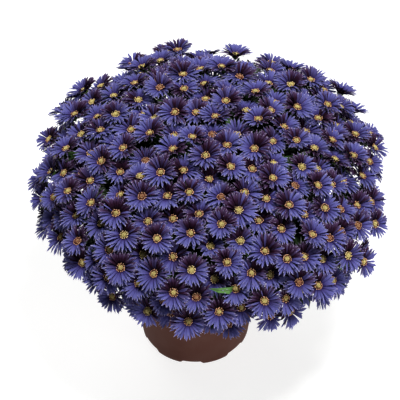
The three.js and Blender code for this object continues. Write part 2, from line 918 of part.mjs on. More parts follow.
// A lance-shaped leaf: a blade with a keel under its midrib
function leafShape(root, heading, facing, length) {
  const side = heading.clone().cross(facing);
  const middle = along(root, heading, length * LEAF_WIDEST);
  const half = LEAF_WIDTH / 2;
  const keel = along(middle, facing, -LEAF_KEEL);
  const blade = [along(middle, side, -half), along(middle, side, half), keel];
  const tipHeading = heading.clone().addScaledVector(facing, -LEAF_DROOP).normalize();
  return { blade, tip: along(middle, tipHeading, length * (1 - LEAF_WIDEST)) };
}

// The leaf's faces from a little way out of the stem, where it must be clear of everything
function leafTriangles(corners, blade, tip) {
  const start = corners.map((corner, k) => corner.clone().lerp(blade[k], LEAF_ROOT_CLEAR));
  const triangles = [];
  for (let k = 0; k < 3; k += 1) {
    const next = (k + 1) % 3;
    triangles.push([start[k], start[next], blade[next]], [start[k], blade[next], blade[k]]);
    triangles.push([blade[k], blade[next], tip]);
  }
  return triangles;
}

function growLeaf(body, face, node) {
  const corners = body.corners(face);
  const root = centroid(corners);
  const normal = body.normal(face);
  const full = node.length + random.between(-LEAF_LENGTH_SPREAD, LEAF_LENGTH_SPREAD);
  for (const share of LEAF_SHARES) {
    for (const lean of LEAF_LEANS) {
      const heading = normal.clone().addScaledVector(node.heading, lean).normalize();
      const facing = squareTo(heading, node.heading);
      const shape = leafShape(root, heading, facing, full * share);
      const blade = matched(corners, shape.blade);
      const triangles = leafTriangles(corners, blade, shape.tip);
      if (!thicket.meets(triangles)) {
        thicket.add(triangles, 'leaf');
        const grown = body.pull(face, blade);
        body.close(grown.end, shape.tip);
        return true;
      }
    }
  }
  return false;
}

function growLeaves(stem) {
  for (const node of stem.nodes) {
    let leaves = 0;
    for (const place of SIDE_ORDER) {
      if (leaves < node.leaves && growLeaf(stem.body, node.sides[place], node)) {
        leaves += 1;
      }
    }
  }
}

// Gives each bunch to the nearest stem
function growStems(bunches) {
  const surfaces = spiral(STEMS).map((unit) => domePoint(unit, 0));
  const stems = surfaces.map((surface) => ({ place: soilPlace(surface), bunches: [] }));
  for (const bunch of bunches) {
    stems[nearest(bunch.surface, surfaces)].bunches.push(bunch);
  }
  for (const stem of stems) {
    growStem(stem);
  }
  for (const stem of stems) {
    thicket.add(stem.body.triangles(), 'stem');
  }
  return stems;
}

// Pot and soil: profiles turned round the axis, raised where a drain channel crosses the foot

function wallRadius(height) {
  return POT_FOOT_RADIUS + WALL_SLOPE * height;
}

// Azimuths round the foot with the lift of the floor there, 1 in a channel and 0 between
function footStations() {
  const period = 360 / NOTCHES;
  const edge = NOTCH_HALF_WIDTH + NOTCH_EDGE;
  const foot = period - 2 * edge;
  const offsets = [[-edge, 0], [-NOTCH_HALF_WIDTH, 1], [NOTCH_HALF_WIDTH, 1], [edge, 0],
    [edge + foot / 2, 0]];
  const stations = [];
  for (let notch = 0; notch < NOTCHES; notch += 1) {
    for (const [offset, lift] of offsets) {
      const azimuth = FRONT_NOTCH_AZIMUTH + notch * period + offset;
      stations.push({ turn: azimuth * RADIANS, lift: lift * NOTCH_HEIGHT });
    }
  }
  return stations;
}

// Turns profile(lift), a list of [radius, height] from the axis below to the axis above
function turned(profile) {
  const stations = footStations();
  const rows = profile(0).length;
  const points = [];
  const faces = [];
  for (const { turn, lift } of stations) {
    for (const [radius, height] of profile(lift).slice(1, -1)) {
      points.push(new THREE.Vector3(radius * Math.cos(turn), radius * Math.sin(turn), height));
    }
  }
  const inner = rows - 2;
  const bottom = points.length;
  const top = bottom + 1;
  points.push(new THREE.Vector3(0, 0, profile(0)[0][1]));
  points.push(new THREE.Vector3(0, 0, profile(0)[rows - 1][1]));
  stations.forEach((station, index) => {
    const following = stations[(index + 1) % stations.length];
    const here = index * inner;
    const next = ((index + 1) % stations.length) * inner;
    faces.push([bottom, next, here], [top, here + inner - 1, next + inner - 1]);
    const outline = profile(station.lift).slice(1, -1);
    for (let row = 0; row < inner - 1; row += 1) {
      const [a, b, c, d] = [here + row, next + row, next + row + 1, here + row + 1];
      // Each twisted quad is split the same way on the pot and on the soil that fills it
      const widening = outline[row][0] <= outline[row + 1][0];
      const rising = station.lift <= following.lift;
      const split = widening === rising ? [[a, b, c], [a, c, d]] : [[a, b, d], [b, c, d]];
      faces.push(...split);
    }
  });
  return { points, faces };
}

function potProfile(lift) {
  const bandFoot = POT_HEIGHT - RIM_BAND;
  const inset = WALL_THICKNESS;
  return [
    [0, 0],
    [CHANNEL_START - CHANNEL_RAMP, 0],
    [CHANNEL_START, lift],
    [wallRadius(lift), lift],
    [wallRadius(bandFoot), bandFoot],
    [RIM_RADIUS - RIM_DRAFT, bandFoot],
    [RIM_RADIUS, POT_HEIGHT],
    [RIM_RADIUS - inset, POT_HEIGHT],
    [RIM_RADIUS - RIM_DRAFT - inset, bandFoot + inset],
    [wallRadius(bandFoot) - inset, bandFoot],
    [wallRadius(lift + FLOOR_THICKNESS) - inset, lift + FLOOR_THICKNESS],
    [CHANNEL_START - CHANNEL_INSET, lift + FLOOR_THICKNESS],
    [CHANNEL_START - CHANNEL_RAMP - CHANNEL_INSET, FLOOR_THICKNESS],
    [0, FLOOR_THICKNESS],
  ];
}

function soilProfile(lift) {
  const floor = FLOOR_THICKNESS + SEAT_GAP;
  const inset = WALL_THICKNESS + SEAT_GAP;
  return [
    [0, floor],
    [CHANNEL_START - CHANNEL_RAMP - 2 * CHANNEL_INSET, floor],
    [CHANNEL_START - 2 * CHANNEL_INSET, lift + floor],
    [wallRadius(lift + floor) - inset, lift + floor],
    [wallRadius(SOIL_TOP) - inset, SOIL_TOP],
    [0, SOIL_TOP],
  ];
}

// Geometry

function meshGeometry(values, indices) {
  const shape = new THREE.BufferGeometry();
  shape.setAttribute('position', new THREE.Float32BufferAttribute(values, 3));
  shape.setIndex(indices);
  shape.computeVertexNormals();
  return shape;
}

function geometryOf({ points, faces }) {
  return meshGeometry(points.flatMap((point) => point.toArray()), faces.flat());
}

const wasm = await Module();
wasm.setup();

function solidOf({ points, faces }) {
  return new wasm.Manifold(new wasm.Mesh({
    numProp: 3,
    vertProperties: new Float32Array(points.flatMap((point) => point.toArray())),
    triVerts: new Uint32Array(faces.flat()),
  }));
}

function stemHole(stem) {
  const low = stem.place.clone().setZ(SOIL_TOP - STEM_DEPTH - SEAT_GAP);
  const high = stem.place.clone().setZ(SOIL_TOP + 1);
  const radius = STEM_RADIUS + HOLE_CLEARANCE;
  const hole = new Growth(ringAt(low, UP, radius, stem.place));
  hole.reach(hole.faces[1], high, UP, radius);
  return hole;
}

function soilGeometry(stems) {
  let plug = solidOf(turned(soilProfile));
  for (const stem of stems) {
    plug = plug.subtract(solidOf(stemHole(stem)));
  }
  const mesh = plug.getMesh();
  return meshGeometry(mesh.vertProperties, [...mesh.triVerts]);
}

function numbered(name, index) {
  return `${name}_${String(index + 1).padStart(2, '0')}`;
}

// Assembly: the leaves come last, because they keep clear of everything else
const plant = new THREE.Group();

function addPiece(name, geometry, look) {
  const mesh = new THREE.Mesh(geometry, new THREE.MeshStandardMaterial(COLOURS[look]));
  mesh.name = name;
  plant.add(mesh);
}

const pot = turned(potProfile);
const bunches = growBunches();
const stems = growStems(bunches);
thicket.add(pot.faces.map((face) => face.map((index) => pot.points[index])), 'pot');
for (const stem of stems) {
  growLeaves(stem);
}

addPiece('pot', geometryOf(pot), 'pot');
addPiece('soil', soilGeometry(stems), 'soil');
stems.forEach((stem, index) => {
  addPiece(numbered('stem', index), geometryOf(stem.body), 'stem');
});
bunches.forEach((bunch, index) => {
  addPiece(numbered('blooms', index), geometryOf(bunch.body), 'blooms');
});

export default plant;
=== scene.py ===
"""A potted New York aster: a dome of violet-blue daisies on leafy stems in a brown nursery pot.

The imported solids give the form: where each bloom sits, how its rays bend, where stems and leaves
run. The pieces made here keep that form and give it its florets, leaves and finishes.
Places are in metres. Sizes are written in millimetres and multiplied by MM.
"""

import logging
import math
from collections.abc import Callable
from dataclasses import dataclass
from enum import IntEnum, StrEnum

import bmesh
import bpy
import numpy as np
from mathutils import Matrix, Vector

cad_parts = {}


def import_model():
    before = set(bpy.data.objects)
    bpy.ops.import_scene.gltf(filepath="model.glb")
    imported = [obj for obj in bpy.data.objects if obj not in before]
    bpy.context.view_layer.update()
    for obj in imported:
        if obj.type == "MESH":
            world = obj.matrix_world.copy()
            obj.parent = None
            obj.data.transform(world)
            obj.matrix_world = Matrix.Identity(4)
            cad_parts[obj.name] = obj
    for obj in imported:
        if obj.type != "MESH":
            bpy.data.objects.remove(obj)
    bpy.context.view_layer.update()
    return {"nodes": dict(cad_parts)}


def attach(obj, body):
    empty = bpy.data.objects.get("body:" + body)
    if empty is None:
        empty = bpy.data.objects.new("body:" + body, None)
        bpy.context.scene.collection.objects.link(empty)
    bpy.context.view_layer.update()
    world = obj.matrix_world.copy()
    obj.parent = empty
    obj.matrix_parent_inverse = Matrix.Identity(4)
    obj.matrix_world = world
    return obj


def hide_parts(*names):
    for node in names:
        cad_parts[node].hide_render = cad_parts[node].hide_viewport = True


LOG = logging.getLogger("aster")
Array = np.ndarray
Chance = np.random.Generator
Socket = bpy.types.NodeSocket

MM = 0.001
SEED = 2738
STEM_SEED = 2 * SEED
BODY = "root"
GOLDEN_ANGLE = math.pi * (3 - math.sqrt(5))
GROWTH_CENTRE = np.array((8, 0, 148)) * MM
UP = np.array((0.0, 0.0, 1.0))

# Corners of a solid closer than the first are joined. The second is the slack with which
# vertices are picked by their place.
TOUCHING = 0.02 * MM
SAME_PLACE = 1e-4

# The name of the vertex attribute that the finishes of growing pieces read.
PATTERN = "pattern"

# A new colour ramp starts with two stops.
FIRST_STOPS = 2

# Sockets of the Mix node, whose names repeat.
MIX_SHARE = 0
MIX_FIRST = 6
MIX_SECOND = 7
MIXED = 2


class Finish(IntEnum):
    """The finish of a face, in the order of a growing piece's material slots."""

    RAY = 0
    DISC = 1
    STALK = 2
    LEAF = 3


class Part(StrEnum):
    """The parts of the plant that are modelled once and copied."""

    RAY = "ray"
    BUD = "bud"
    TUBE = "tube"
    CROWN = "crown"
    CUP = "cup"
    LEAF = "leaf"


def unit(vectors: Array) -> Array:
    """Returns the vectors at unit length."""
    return vectors / np.linalg.norm(vectors, axis=-1, keepdims=True)


def square_to(axes: Array, hints: Array) -> Array:
    """Returns unit vectors square to the axes, as near as can be to the hints."""
    return unit(hints - axes * np.sum(axes * hints, axis=-1, keepdims=True))


def linear(colour: str) -> tuple[float, float, float, float]:
    """Turns an sRGB colour into a linear one, by the curve of the sRGB standard.

    Args:
        colour: the colour in hex, such as "#51382f".

    Returns:
        Its linear red, green and blue, and 1 for opaque.
    """
    parts = [int(colour[start:start + 2], 16) / 255 for start in (1, 3, 5)]
    red, green, blue = (
        part / 12.92 if part <= 0.04045 else ((part + 0.055) / 1.055) ** 2.4 for part in parts
    )
    return red, green, blue, 1.0


# Materials


def new_material(name: str) -> bpy.types.Material:
    """Makes an empty node material.

    Args:
        name: what the real material is.

    Returns:
        The material.
    """
    material = bpy.data.materials.new(name)
    material.use_nodes = True
    material.node_tree.nodes.clear()
    return material


def add_node(
    material: bpy.types.Material,
    kind: str,
    inputs: dict[str | int, object] | None = None,
    stops: dict[float, str] | None = None,
    **settings: object,
) -> bpy.types.Node:
    """Adds a node with its settings and links.

    Args:
        material: the material that the node goes into.
        kind: the node's type name without its prefix, such as "Mix".
        inputs: for each input, the output that feeds it or its own value.
        stops: the hex colours of a colour ramp by their places.
        settings: the node's own properties.

    Returns:
        The new node.
    """
    node = material.node_tree.nodes.new(f"ShaderNode{kind}")
    for name, value in settings.items():
        setattr(node, name, value)
    for name, value in (inputs or {}).items():
        if isinstance(value, Socket):
            material.node_tree.links.new(value, node.inputs[name])
        else:
            node.inputs[name].default_value = value
    for index, (place, colour) in enumerate((stops or {}).items()):
        elements = node.color_ramp.elements
        element = elements[index] if index < FIRST_STOPS else elements.new(place)
        element.position = place
        element.color = linear(colour)
    return node


@dataclass(frozen=True)
class RayTissue:
    """Petal tissue: the thin strap of a fresh ray floret."""

    # The eye sees a matt violet-blue strap, some straps more purple, with a pale pointed tip and
    # darker veins along it. Its dark purple root is painted shade where the rays crowd round the
    # disc. The darker purple all over on the side that turns to the plant's top is painted shade
    # too, and the purple ramp's dark stops give it.
    blue: tuple[str, ...] = ("#221028", "#4a407e", "#6a68ac", "#7c7cbc", "#c4bce0")
    purple_and_shade: tuple[str, ...] = ("#0a0308", "#1a0a15", "#361a32", "#5c4468", "#b8aacc")
    places: tuple[float, ...] = (0.0, 0.22, 0.55, 0.86, 0.98)
    width_mm: float = 1.95
    vein_gap_mm: float = 0.65
    vein_and_edge_shade_depth: float = 0.55
    vein_relief_mm: float = 0.1
    relief_strength: float = 0.25
    ior: float = 1.42
    specular: float = 0.08
    roughness: float = 0.7

    def make(self) -> bpy.types.Material:
        """Makes the material, whose pattern holds the places across and along and the tint.

        Returns:
            The material.
        """
        material = new_material("aster_ray_tissue")
        pattern = add_node(material, "Attribute", attribute_name=PATTERN)
        parts = add_node(material, "SeparateXYZ", {"Vector": pattern.outputs["Vector"]}).outputs
        blue = add_node(
            material, "ValToRGB", {"Fac": parts["Y"]}, dict(zip(self.places, self.blue))
        )
        purple_and_shade = add_node(
            material, "ValToRGB", {"Fac": parts["Y"]}, dict(zip(self.places, self.purple_and_shade))
        )
        colours = {
            MIX_SHARE: parts["Z"],
            MIX_FIRST: blue.outputs["Color"],
            MIX_SECOND: purple_and_shade.outputs["Color"],
        }
        colour = add_node(material, "Mix", colours, data_type="RGBA")
        # The wave darkens the strap along its veins and at its two edges. The dark edges are
        # painted shade between neighbouring rays.
        period = math.tau * self.width_mm / self.vein_gap_mm
        turns = add_node(material, "Math", {0: parts["X"], 1: period}, operation="MULTIPLY")
        wave = add_node(material, "Math", {0: turns.outputs[0]}, operation="COSINE")
        depths = {
            "Value": wave.outputs[0],
            "From Min": -1.0,
            "From Max": 1.0,
            "To Min": self.vein_and_edge_shade_depth,
            "To Max": 0.0,
        }
        depth = add_node(material, "MapRange", depths)
        shades = {
            MIX_SHARE: depth.outputs[0],
            MIX_FIRST: colour.outputs[MIXED],
            MIX_SECOND: linear(self.purple_and_shade[0]),
        }
        veined = add_node(material, "Mix", shades, data_type="RGBA")
        heights = {
            "Height": wave.outputs[0],
            "Strength": self.relief_strength,
            "Distance": self.vein_relief_mm * MM,
        }
        relief = add_node(material, "Bump", heights)
        surface = {
            "Base Color": veined.outputs[MIXED],
            "IOR": self.ior,
            "Specular IOR Level": self.specular,
            "Roughness": self.roughness,
            "Normal": relief.outputs["Normal"],
        }
        shader = add_node(material, "BsdfPrincipled", surface)
        add_node(material, "OutputMaterial", {"Surface": shader.outputs["BSDF"]})
        return material


@dataclass(frozen=True)
class DiscTissue:
    """Disc florets: waxy shut buds and open tubes, packed on the middle of a daisy."""

    # The eye sees a waxy green-yellow button with a rougher brown ring, dotted with peach lobes.
    # Both ramps darken towards each floret's foot: painted shade between the crowded florets.
    buds: tuple[str, ...] = ("#4a3814", "#c0b05c", "#f2e4b0")
    tubes: tuple[str, ...] = ("#2a0c08", "#74301c", "#dca884")
    places: tuple[float, ...] = (0.0, 0.6, 1.0)
    open_range: tuple[float, float] = (0.2, 0.8)
    pollen_mm: float = 0.4
    pollen_relief_mm: float = 0.1
    relief_strength: float = 0.3
    ior: float = 1.45
    waxy_roughness: float = 0.46
    open_roughness: float = 0.6

    def make(self) -> bpy.types.Material:
        """Makes the material, whose pattern holds the ripeness and the place along.

        Returns:
            The material.
        """
        material = new_material("aster_disc_tissue")
        pattern = add_node(material, "Attribute", attribute_name=PATTERN)
        parts = add_node(material, "SeparateXYZ", {"Vector": pattern.outputs["Vector"]}).outputs
        buds = add_node(
            material, "ValToRGB", {"Fac": parts["Y"]}, dict(zip(self.places, self.buds))
        )
        tubes = add_node(
            material, "ValToRGB", {"Fac": parts["Y"]}, dict(zip(self.places, self.tubes))
        )
        ripeness = {
            "Value": parts["X"],
            "From Min": self.open_range[0],
            "From Max": self.open_range[1],
        }
        share = add_node(material, "MapRange", ripeness).outputs[0]
        colours = {
            MIX_SHARE: share,
            MIX_FIRST: buds.outputs["Color"],
            MIX_SECOND: tubes.outputs["Color"],
        }
        colour = add_node(material, "Mix", colours, data_type="RGBA")
        gloss = {"Value": share, "To Min": self.waxy_roughness, "To Max": self.open_roughness}
        rough = add_node(material, "MapRange", gloss)
        place = add_node(material, "TexCoord").outputs["Object"]
        pollen = add_node(
            material, "TexNoise", {"Vector": place, "Scale": 1 / (self.pollen_mm * MM)}
        )
        heights = {
            "Height": pollen.outputs[0],
            "Strength": self.relief_strength,
            "Distance": self.pollen_relief_mm * MM,
        }
        relief = add_node(material, "Bump", heights)
        surface = {
            "Base Color": colour.outputs[MIXED],
            "IOR": self.ior,
            "Roughness": rough.outputs[0],
            "Normal": relief.outputs["Normal"],
        }
        shader = add_node(material, "BsdfPrincipled", surface)
        add_node(material, "OutputMaterial", {"Surface": shader.outputs["BSDF"]})
        return material


@dataclass(frozen=True)
class StalkBark:
    """Skin of green stalks and bracts, part of it turned brown and woody."""

    # The eye sees dull green that is flushed reddish brown in patches, with fine ridges.
    green: str = "#4c6a35"
    flush: str = "#463a2a"
    patch_mm: float = 14
    patch_detail: float = 2.0
    patch_range: tuple[float, float] = (0.4, 0.65)
    ridge_mm: float = 1.2
    ridge_relief_mm: float = 0.2
    relief_strength: float = 0.4
    ior: float = 1.45
    roughness: float = 0.6

    def make(self) -> bpy.types.Material:
        """Makes the material, patterned on Object coordinates.

        Returns:
            The material.
        """
        material = new_material("aster_stalk_bark")
        place = add_node(material, "TexCoord").outputs["Object"]
        patches = add_node(
            material, "TexNoise",
            {"Vector": place, "Scale": 1 / (self.patch_mm * MM), "Detail": self.patch_detail},
        )
        flushes = {
            "Value": patches.outputs[0],
            "From Min": self.patch_range[0],
            "From Max": self.patch_range[1],
        }
        share = add_node(material, "MapRange", flushes)
        colours = {
            MIX_SHARE: share.outputs[0],
            MIX_FIRST: linear(self.green),
            MIX_SECOND: linear(self.flush),
        }
        colour = add_node(material, "Mix", colours, data_type="RGBA")
        ridges = add_node(
            material, "TexNoise", {"Vector": place, "Scale": 1 / (self.ridge_mm * MM)}
        )
        heights = {
            "Height": ridges.outputs[0],
            "Strength": self.relief_strength,
            "Distance": self.ridge_relief_mm * MM,
        }
        relief = add_node(material, "Bump", heights)
        surface = {
            "Base Color": colour.outputs[MIXED],
            "IOR": self.ior,
            "Roughness": self.roughness,
            "Normal": relief.outputs["Normal"],
        }
        shader = add_node(material, "BsdfPrincipled", surface)
        add_node(material, "OutputMaterial", {"Surface": shader.outputs["BSDF"]})
        return material


@dataclass(frozen=True)
class LeafSkin:
    """Skin of lance leaves: smooth, with a thin wax coat."""

    # The eye sees satin dark green with a paler midrib and slanting side veins. Young leaves are
    # a fresh, brighter green.
    # The old green is darker than the leaves' own dark green: painted shade for the foliage deep
    # inside the dome.
    old: str = "#1c2b13"
    fresh: str = "#5a8644"
    midrib: str = "#43593a"
    fresh_from: float = 0.55
    length_mm: float = 36
    width_mm: float = 6.5
    midrib_mm: tuple[float, float] = (0.4, 1.2)
    midrib_share: float = 0.75
    vein_gap_mm: float = 4
    vein_edge: float = 0.8
    vein_share: float = 0.35
    vein_relief_mm: float = 0.2
    relief_strength: float = 0.3
    ior: float = 1.45
    roughness: float = 0.48

    def make(self) -> bpy.types.Material:
        """Makes the material, whose pattern holds the places across and along and the tint.

        Returns:
            The material.
        """
        material = new_material("aster_leaf_skin")
        pattern = add_node(material, "Attribute", attribute_name=PATTERN)
        parts = add_node(material, "SeparateXYZ", {"Vector": pattern.outputs["Vector"]}).outputs
        age = add_node(material, "MapRange", {"Value": parts["Z"], "From Min": self.fresh_from})
        ages = {
            MIX_SHARE: age.outputs[0],
            MIX_FIRST: linear(self.old),
            MIX_SECOND: linear(self.fresh),
        }
        skin = add_node(material, "Mix", ages, data_type="RGBA")
        side = add_node(material, "Math", {0: parts["X"]}, operation="ABSOLUTE").outputs[0]
        rib_from, rib_to = (width / (2 * self.width_mm) for width in self.midrib_mm)
        ribs = {
            "Value": side,
            "From Min": rib_from,
            "From Max": rib_to,
            "To Min": self.midrib_share,
            "To Max": 0.0,
        }
        rib = add_node(material, "MapRange", ribs)
        ribbed_colours = {
            MIX_SHARE: rib.outputs[0],
            MIX_FIRST: skin.outputs[MIXED],
            MIX_SECOND: linear(self.midrib),
        }
        ribbed = add_node(material, "Mix", ribbed_colours, data_type="RGBA")
        slant = add_node(material, "Math", {0: parts["Y"], 1: side}, operation="SUBTRACT")
        period = math.tau * self.length_mm / self.vein_gap_mm
        turns = add_node(material, "Math", {0: slant.outputs[0], 1: period}, operation="MULTIPLY")
        wave = add_node(material, "Math", {0: turns.outputs[0]}, operation="COSINE")
        veins = {
            "Value": wave.outputs[0],
            "From Min": self.vein_edge,
            "To Max": self.vein_share,
        }
        vein = add_node(material, "MapRange", veins).outputs[0]
        veined_colours = {
            MIX_SHARE: vein,
            MIX_FIRST: ribbed.outputs[MIXED],
            MIX_SECOND: linear(self.midrib),
        }
        veined = add_node(material, "Mix", veined_colours, data_type="RGBA")
        heights = {
            "Height": vein,
            "Strength": self.relief_strength,
            "Distance": self.vein_relief_mm * MM,
        }
        relief = add_node(material, "Bump", heights, invert=True)
        surface = {
            "Base Color": veined.outputs[MIXED],
            "IOR": self.ior,
            "Roughness": self.roughness,
            "Normal": relief.outputs["Normal"],
        }
        shader = add_node(material, "BsdfPrincipled", surface)
        add_node(material, "OutputMaterial", {"Surface": shader.outputs["BSDF"]})
        return material


@dataclass(frozen=True)
class MouldedPolypropylene:
    """Injection-moulded polypropylene with a spark-eroded grain."""

    # The eye sees satin brown, dulled by dust in soft patches, with a faint even grain. The real
    # grain of about 0.1 mm is drawn 15 times coarser, so that it shows.
    brown: str = "#5f3e36"
    dusty: str = "#674942"
    dust_mm: float = 30
    dust_detail: float = 4.0
    dust_range: tuple[float, float] = (0.35, 0.75)
    grain_mm: float = 1.5
    grain_relief_mm: float = 0.5
    relief_strength: float = 0.08
    ior: float = 1.49
    specular: float = 0.03
    clean_roughness: float = 0.52
    dusty_roughness: float = 0.7

    def make(self) -> bpy.types.Material:
        """Makes the material, patterned on Object coordinates.

        Returns:
            The material.
        """
        material = new_material("moulded_polypropylene")
        place = add_node(material, "TexCoord").outputs["Object"]
        dust = add_node(
            material, "TexNoise",
            {"Vector": place, "Scale": 1 / (self.dust_mm * MM), "Detail": self.dust_detail},
        )
        patches = {
            "Value": dust.outputs[0],
            "From Min": self.dust_range[0],
            "From Max": self.dust_range[1],
        }
        share = add_node(material, "MapRange", patches)
        colours = {
            MIX_SHARE: share.outputs[0],
            MIX_FIRST: linear(self.brown),
            MIX_SECOND: linear(self.dusty),
        }
        colour = add_node(material, "Mix", colours, data_type="RGBA")
        gloss = {
            "Value": dust.outputs[0],
            "To Min": self.clean_roughness,
            "To Max": self.dusty_roughness,
        }
        rough = add_node(material, "MapRange", gloss)
        grain = add_node(
            material, "TexNoise", {"Vector": place, "Scale": 1 / (self.grain_mm * MM)}
        )
        heights = {
            "Height": grain.outputs[0],
            "Strength": self.relief_strength,
            "Distance": self.grain_relief_mm * MM,
        }
        relief = add_node(material, "Bump", heights)
        surface = {
            "Base Color": colour.outputs[MIXED],
            "IOR": self.ior,
            "Specular IOR Level": self.specular,
            "Roughness": rough.outputs[0],
            "Normal": relief.outputs["Normal"],
        }
        shader = add_node(material, "BsdfPrincipled", surface)
        add_node(material, "OutputMaterial", {"Surface": shader.outputs["BSDF"]})
        return material


@dataclass(frozen=True)
class PottingMix:
    """Moist peat potting mix, pressed down by watering."""

    # The eye sees near-black matt crumbs with paler fibres among them.
    peat: str = "#1f1611"
    fibre: str = "#4b3726"
    crumb_mm: float = 3
    crumb_detail: float = 5.0
    fibre_range: tuple[float, float] = (0.45, 0.8)
    crumb_relief_mm: float = 1
    relief_strength: float = 0.6
    ior: float = 1.5
    roughness: float = 0.95

    def make(self) -> bpy.types.Material:
        """Makes the material, patterned on Object coordinates.

        Returns:
            The material.
        """
        material = new_material("peat_potting_mix")
        place = add_node(material, "TexCoord").outputs["Object"]
        crumbs = add_node(
            material, "TexNoise",
            {"Vector": place, "Scale": 1 / (self.crumb_mm * MM), "Detail": self.crumb_detail},
        )
        fibres = {
            "Value": crumbs.outputs[0],
            "From Min": self.fibre_range[0],
            "From Max": self.fibre_range[1],
        }
        share = add_node(material, "MapRange", fibres)
        colours = {
            MIX_SHARE: share.outputs[0],
            MIX_FIRST: linear(self.peat),
            MIX_SECOND: linear(self.fibre),
        }
        colour = add_node(material, "Mix", colours, data_type="RGBA")
        heights = {
            "Height": crumbs.outputs[0],
            "Strength": self.relief_strength,
            "Distance": self.crumb_relief_mm * MM,
        }
        relief = add_node(material, "Bump", heights)
        surface = {
            "Base Color": colour.outputs[MIXED],
            "IOR": self.ior,
            "Roughness": self.roughness,
            "Normal": relief.outputs["Normal"],
        }
        shader = add_node(material, "BsdfPrincipled", surface)
        add_node(material, "OutputMaterial", {"Surface": shader.outputs["BSDF"]})
        return material


# Modelling by hand


def deselect_all() -> None:
    """Deselects every object."""
    bpy.ops.object.select_all(action="DESELECT")


def make_active(piece: bpy.types.Object) -> None:
    """Selects one object alone and makes it the active one.

    Args:
        piece: the object.
    """
    deselect_all()
    piece.select_set(True)
    bpy.context.view_layer.objects.active = piece


def select_where(test: Callable[[Vector], bool]) -> None:
    """Selects vertices of the mesh in edit mode by their place.

    Args:
        test: tells whether a place belongs to the selection.
    """
    bpy.ops.mesh.select_all(action="DESELECT")
    mesh = bmesh.from_edit_mesh(bpy.context.edit_object.data)
    for vertex in mesh.verts:
        vertex.select = test(vertex.co)
    mesh.select_flush(True)
    bmesh.update_edit_mesh(bpy.context.edit_object.data)


def apply_modifier(piece: bpy.types.Object, kind: str, **settings: object) -> None:
    """Adds a modifier and applies it.

    Args:
        piece: the object that is changed.
        kind: the modifier's type name, such as "BEVEL".
        settings: the modifier's own properties.
    """
    make_active(piece)
    modifier = piece.modifiers.new(kind.title(), kind)
    for name, value in settings.items():
        setattr(modifier, name, value)
    bpy.ops.object.modifier_apply(modifier=modifier.name)


def smooth(piece: bpy.types.Object, degrees: float) -> None:
    """Shades a piece smooth but for its sharp edges.

    Args:
        piece: the piece.
        degrees: the angle from which an edge is sharp.
    """
    make_active(piece)
    bpy.ops.object.shade_smooth_by_angle(angle=math.radians(degrees))


def link_piece(
    name: str, mesh: bpy.types.Mesh, materials: list[bpy.types.Material]
) -> bpy.types.Object:
    """Puts a mesh into the scene.

    Args:
        name: the piece's name.
        mesh: its mesh, whose places are final.
        materials: its finishes in slot order.

    Returns:
        The piece.
    """
    for material in materials:
        mesh.materials.append(material)
    piece = bpy.data.objects.new(name, mesh)
    bpy.context.scene.collection.objects.link(piece)
    return piece


def join_pieces(first: bpy.types.Object, second: bpy.types.Object) -> None:
    """Joins one piece into another.

    Args:
        first: the piece that stays.
        second: the piece that becomes part of it.
    """
    make_active(first)
    second.select_set(True)
    bpy.ops.object.join()


# Shapes and their copies


@dataclass(frozen=True)
class Shape:
    """A modelled shape to be copied: x across, y along from 0 to 1, z up."""

    places: Array
    faces: tuple[Array, ...]

    @classmethod
    def taken_from(cls, piece: bpy.types.Object) -> "Shape":
        """Reads the shape from an object, and removes the object.

        Args:
            piece: the object.

        Returns:
            The shape, with its faces gathered by their number of corners.
        """
        places = np.array([vertex.co for vertex in piece.data.vertices])
        corners = [tuple(face.vertices) for face in piece.data.polygons]
        counts = sorted({len(face) for face in corners})
        faces = tuple(np.array([f for f in corners if len(f) == count]) for count in counts)
        bpy.data.objects.remove(piece)
        return cls(places, faces)


@dataclass(frozen=True)
class Shoot:
    """A shape that swells and narrows along its length: strap, lance, bud or cup.

    widths gives the width at places along it. channel is the height of the middle of the upper
    face, as a share of its height on a round section. A pointed shoot ends in one point.
    """

    widths: dict[float, float]
    sides: int = 4
    channel: float = 1.0
    pointed: bool = True

    def model(self) -> Shape:
        """Models the shoot in edit mode, from a cylinder that is cut and scaled at each place.

        Returns:
            Its shape.
        """
        deselect_all()
        # The cylinder is one unit wide, and runs from its root at y = 0 to its tip at y = 1.
        bpy.ops.mesh.primitive_cylinder_add(
            vertices=self.sides, radius=0.5, depth=1, location=(0, 0.5, 0),
            rotation=(-math.pi / 2, 0, 0),
        )
        bpy.ops.object.transform_apply(location=True, rotation=True, scale=True)
        bpy.ops.object.mode_set(mode="EDIT")
        for place in self.widths:
            if 0 < place < 1:
                bpy.ops.mesh.select_all(action="SELECT")
                bpy.ops.mesh.bisect(plane_co=(0, place, 0), plane_no=(0, 1, 0))
        for place, width in self.widths.items():
            select_where(lambda spot: abs(spot.y - place) < SAME_PLACE)
            bpy.ops.transform.resize(value=(width, 1, width), center_override=(0, place, 0))
        select_where(lambda spot: abs(spot.x) < SAME_PLACE and spot.z > SAME_PLACE)
        bpy.ops.transform.resize(value=(1, 1, self.channel), center_override=(0, 0, 0))
        select_where(lambda spot: spot.y > 1 - SAME_PLACE)
        if self.pointed:
            bpy.ops.mesh.merge(type="CENTER")
        bpy.ops.object.mode_set(mode="OBJECT")
        return Shape.taken_from(bpy.context.object)


SHOOTS = {
    Part.RAY: Shoot({0: 0.45, 0.42: 0.9, 0.8: 1.0, 1: 0.1}, channel=-0.4),
    Part.BUD: Shoot({0: 0.55, 0.6: 1.0, 1: 0.4}),
    Part.TUBE: Shoot({0: 0.5, 0.6: 0.6, 1: 1.1}, pointed=False),
    Part.CROWN: Shoot({0: 1.0, 0.5: 0.85, 1: 0.3}, sides=10),
    Part.CUP: Shoot({0: 0.24, 0.22: 0.5, 0.6: 0.88, 1: 1.0}, sides=12, pointed=False),
    Part.LEAF: Shoot({0: 0.25, 0.4: 1.0, 0.76: 0.68, 1: 0.1}, channel=-0.35),
}


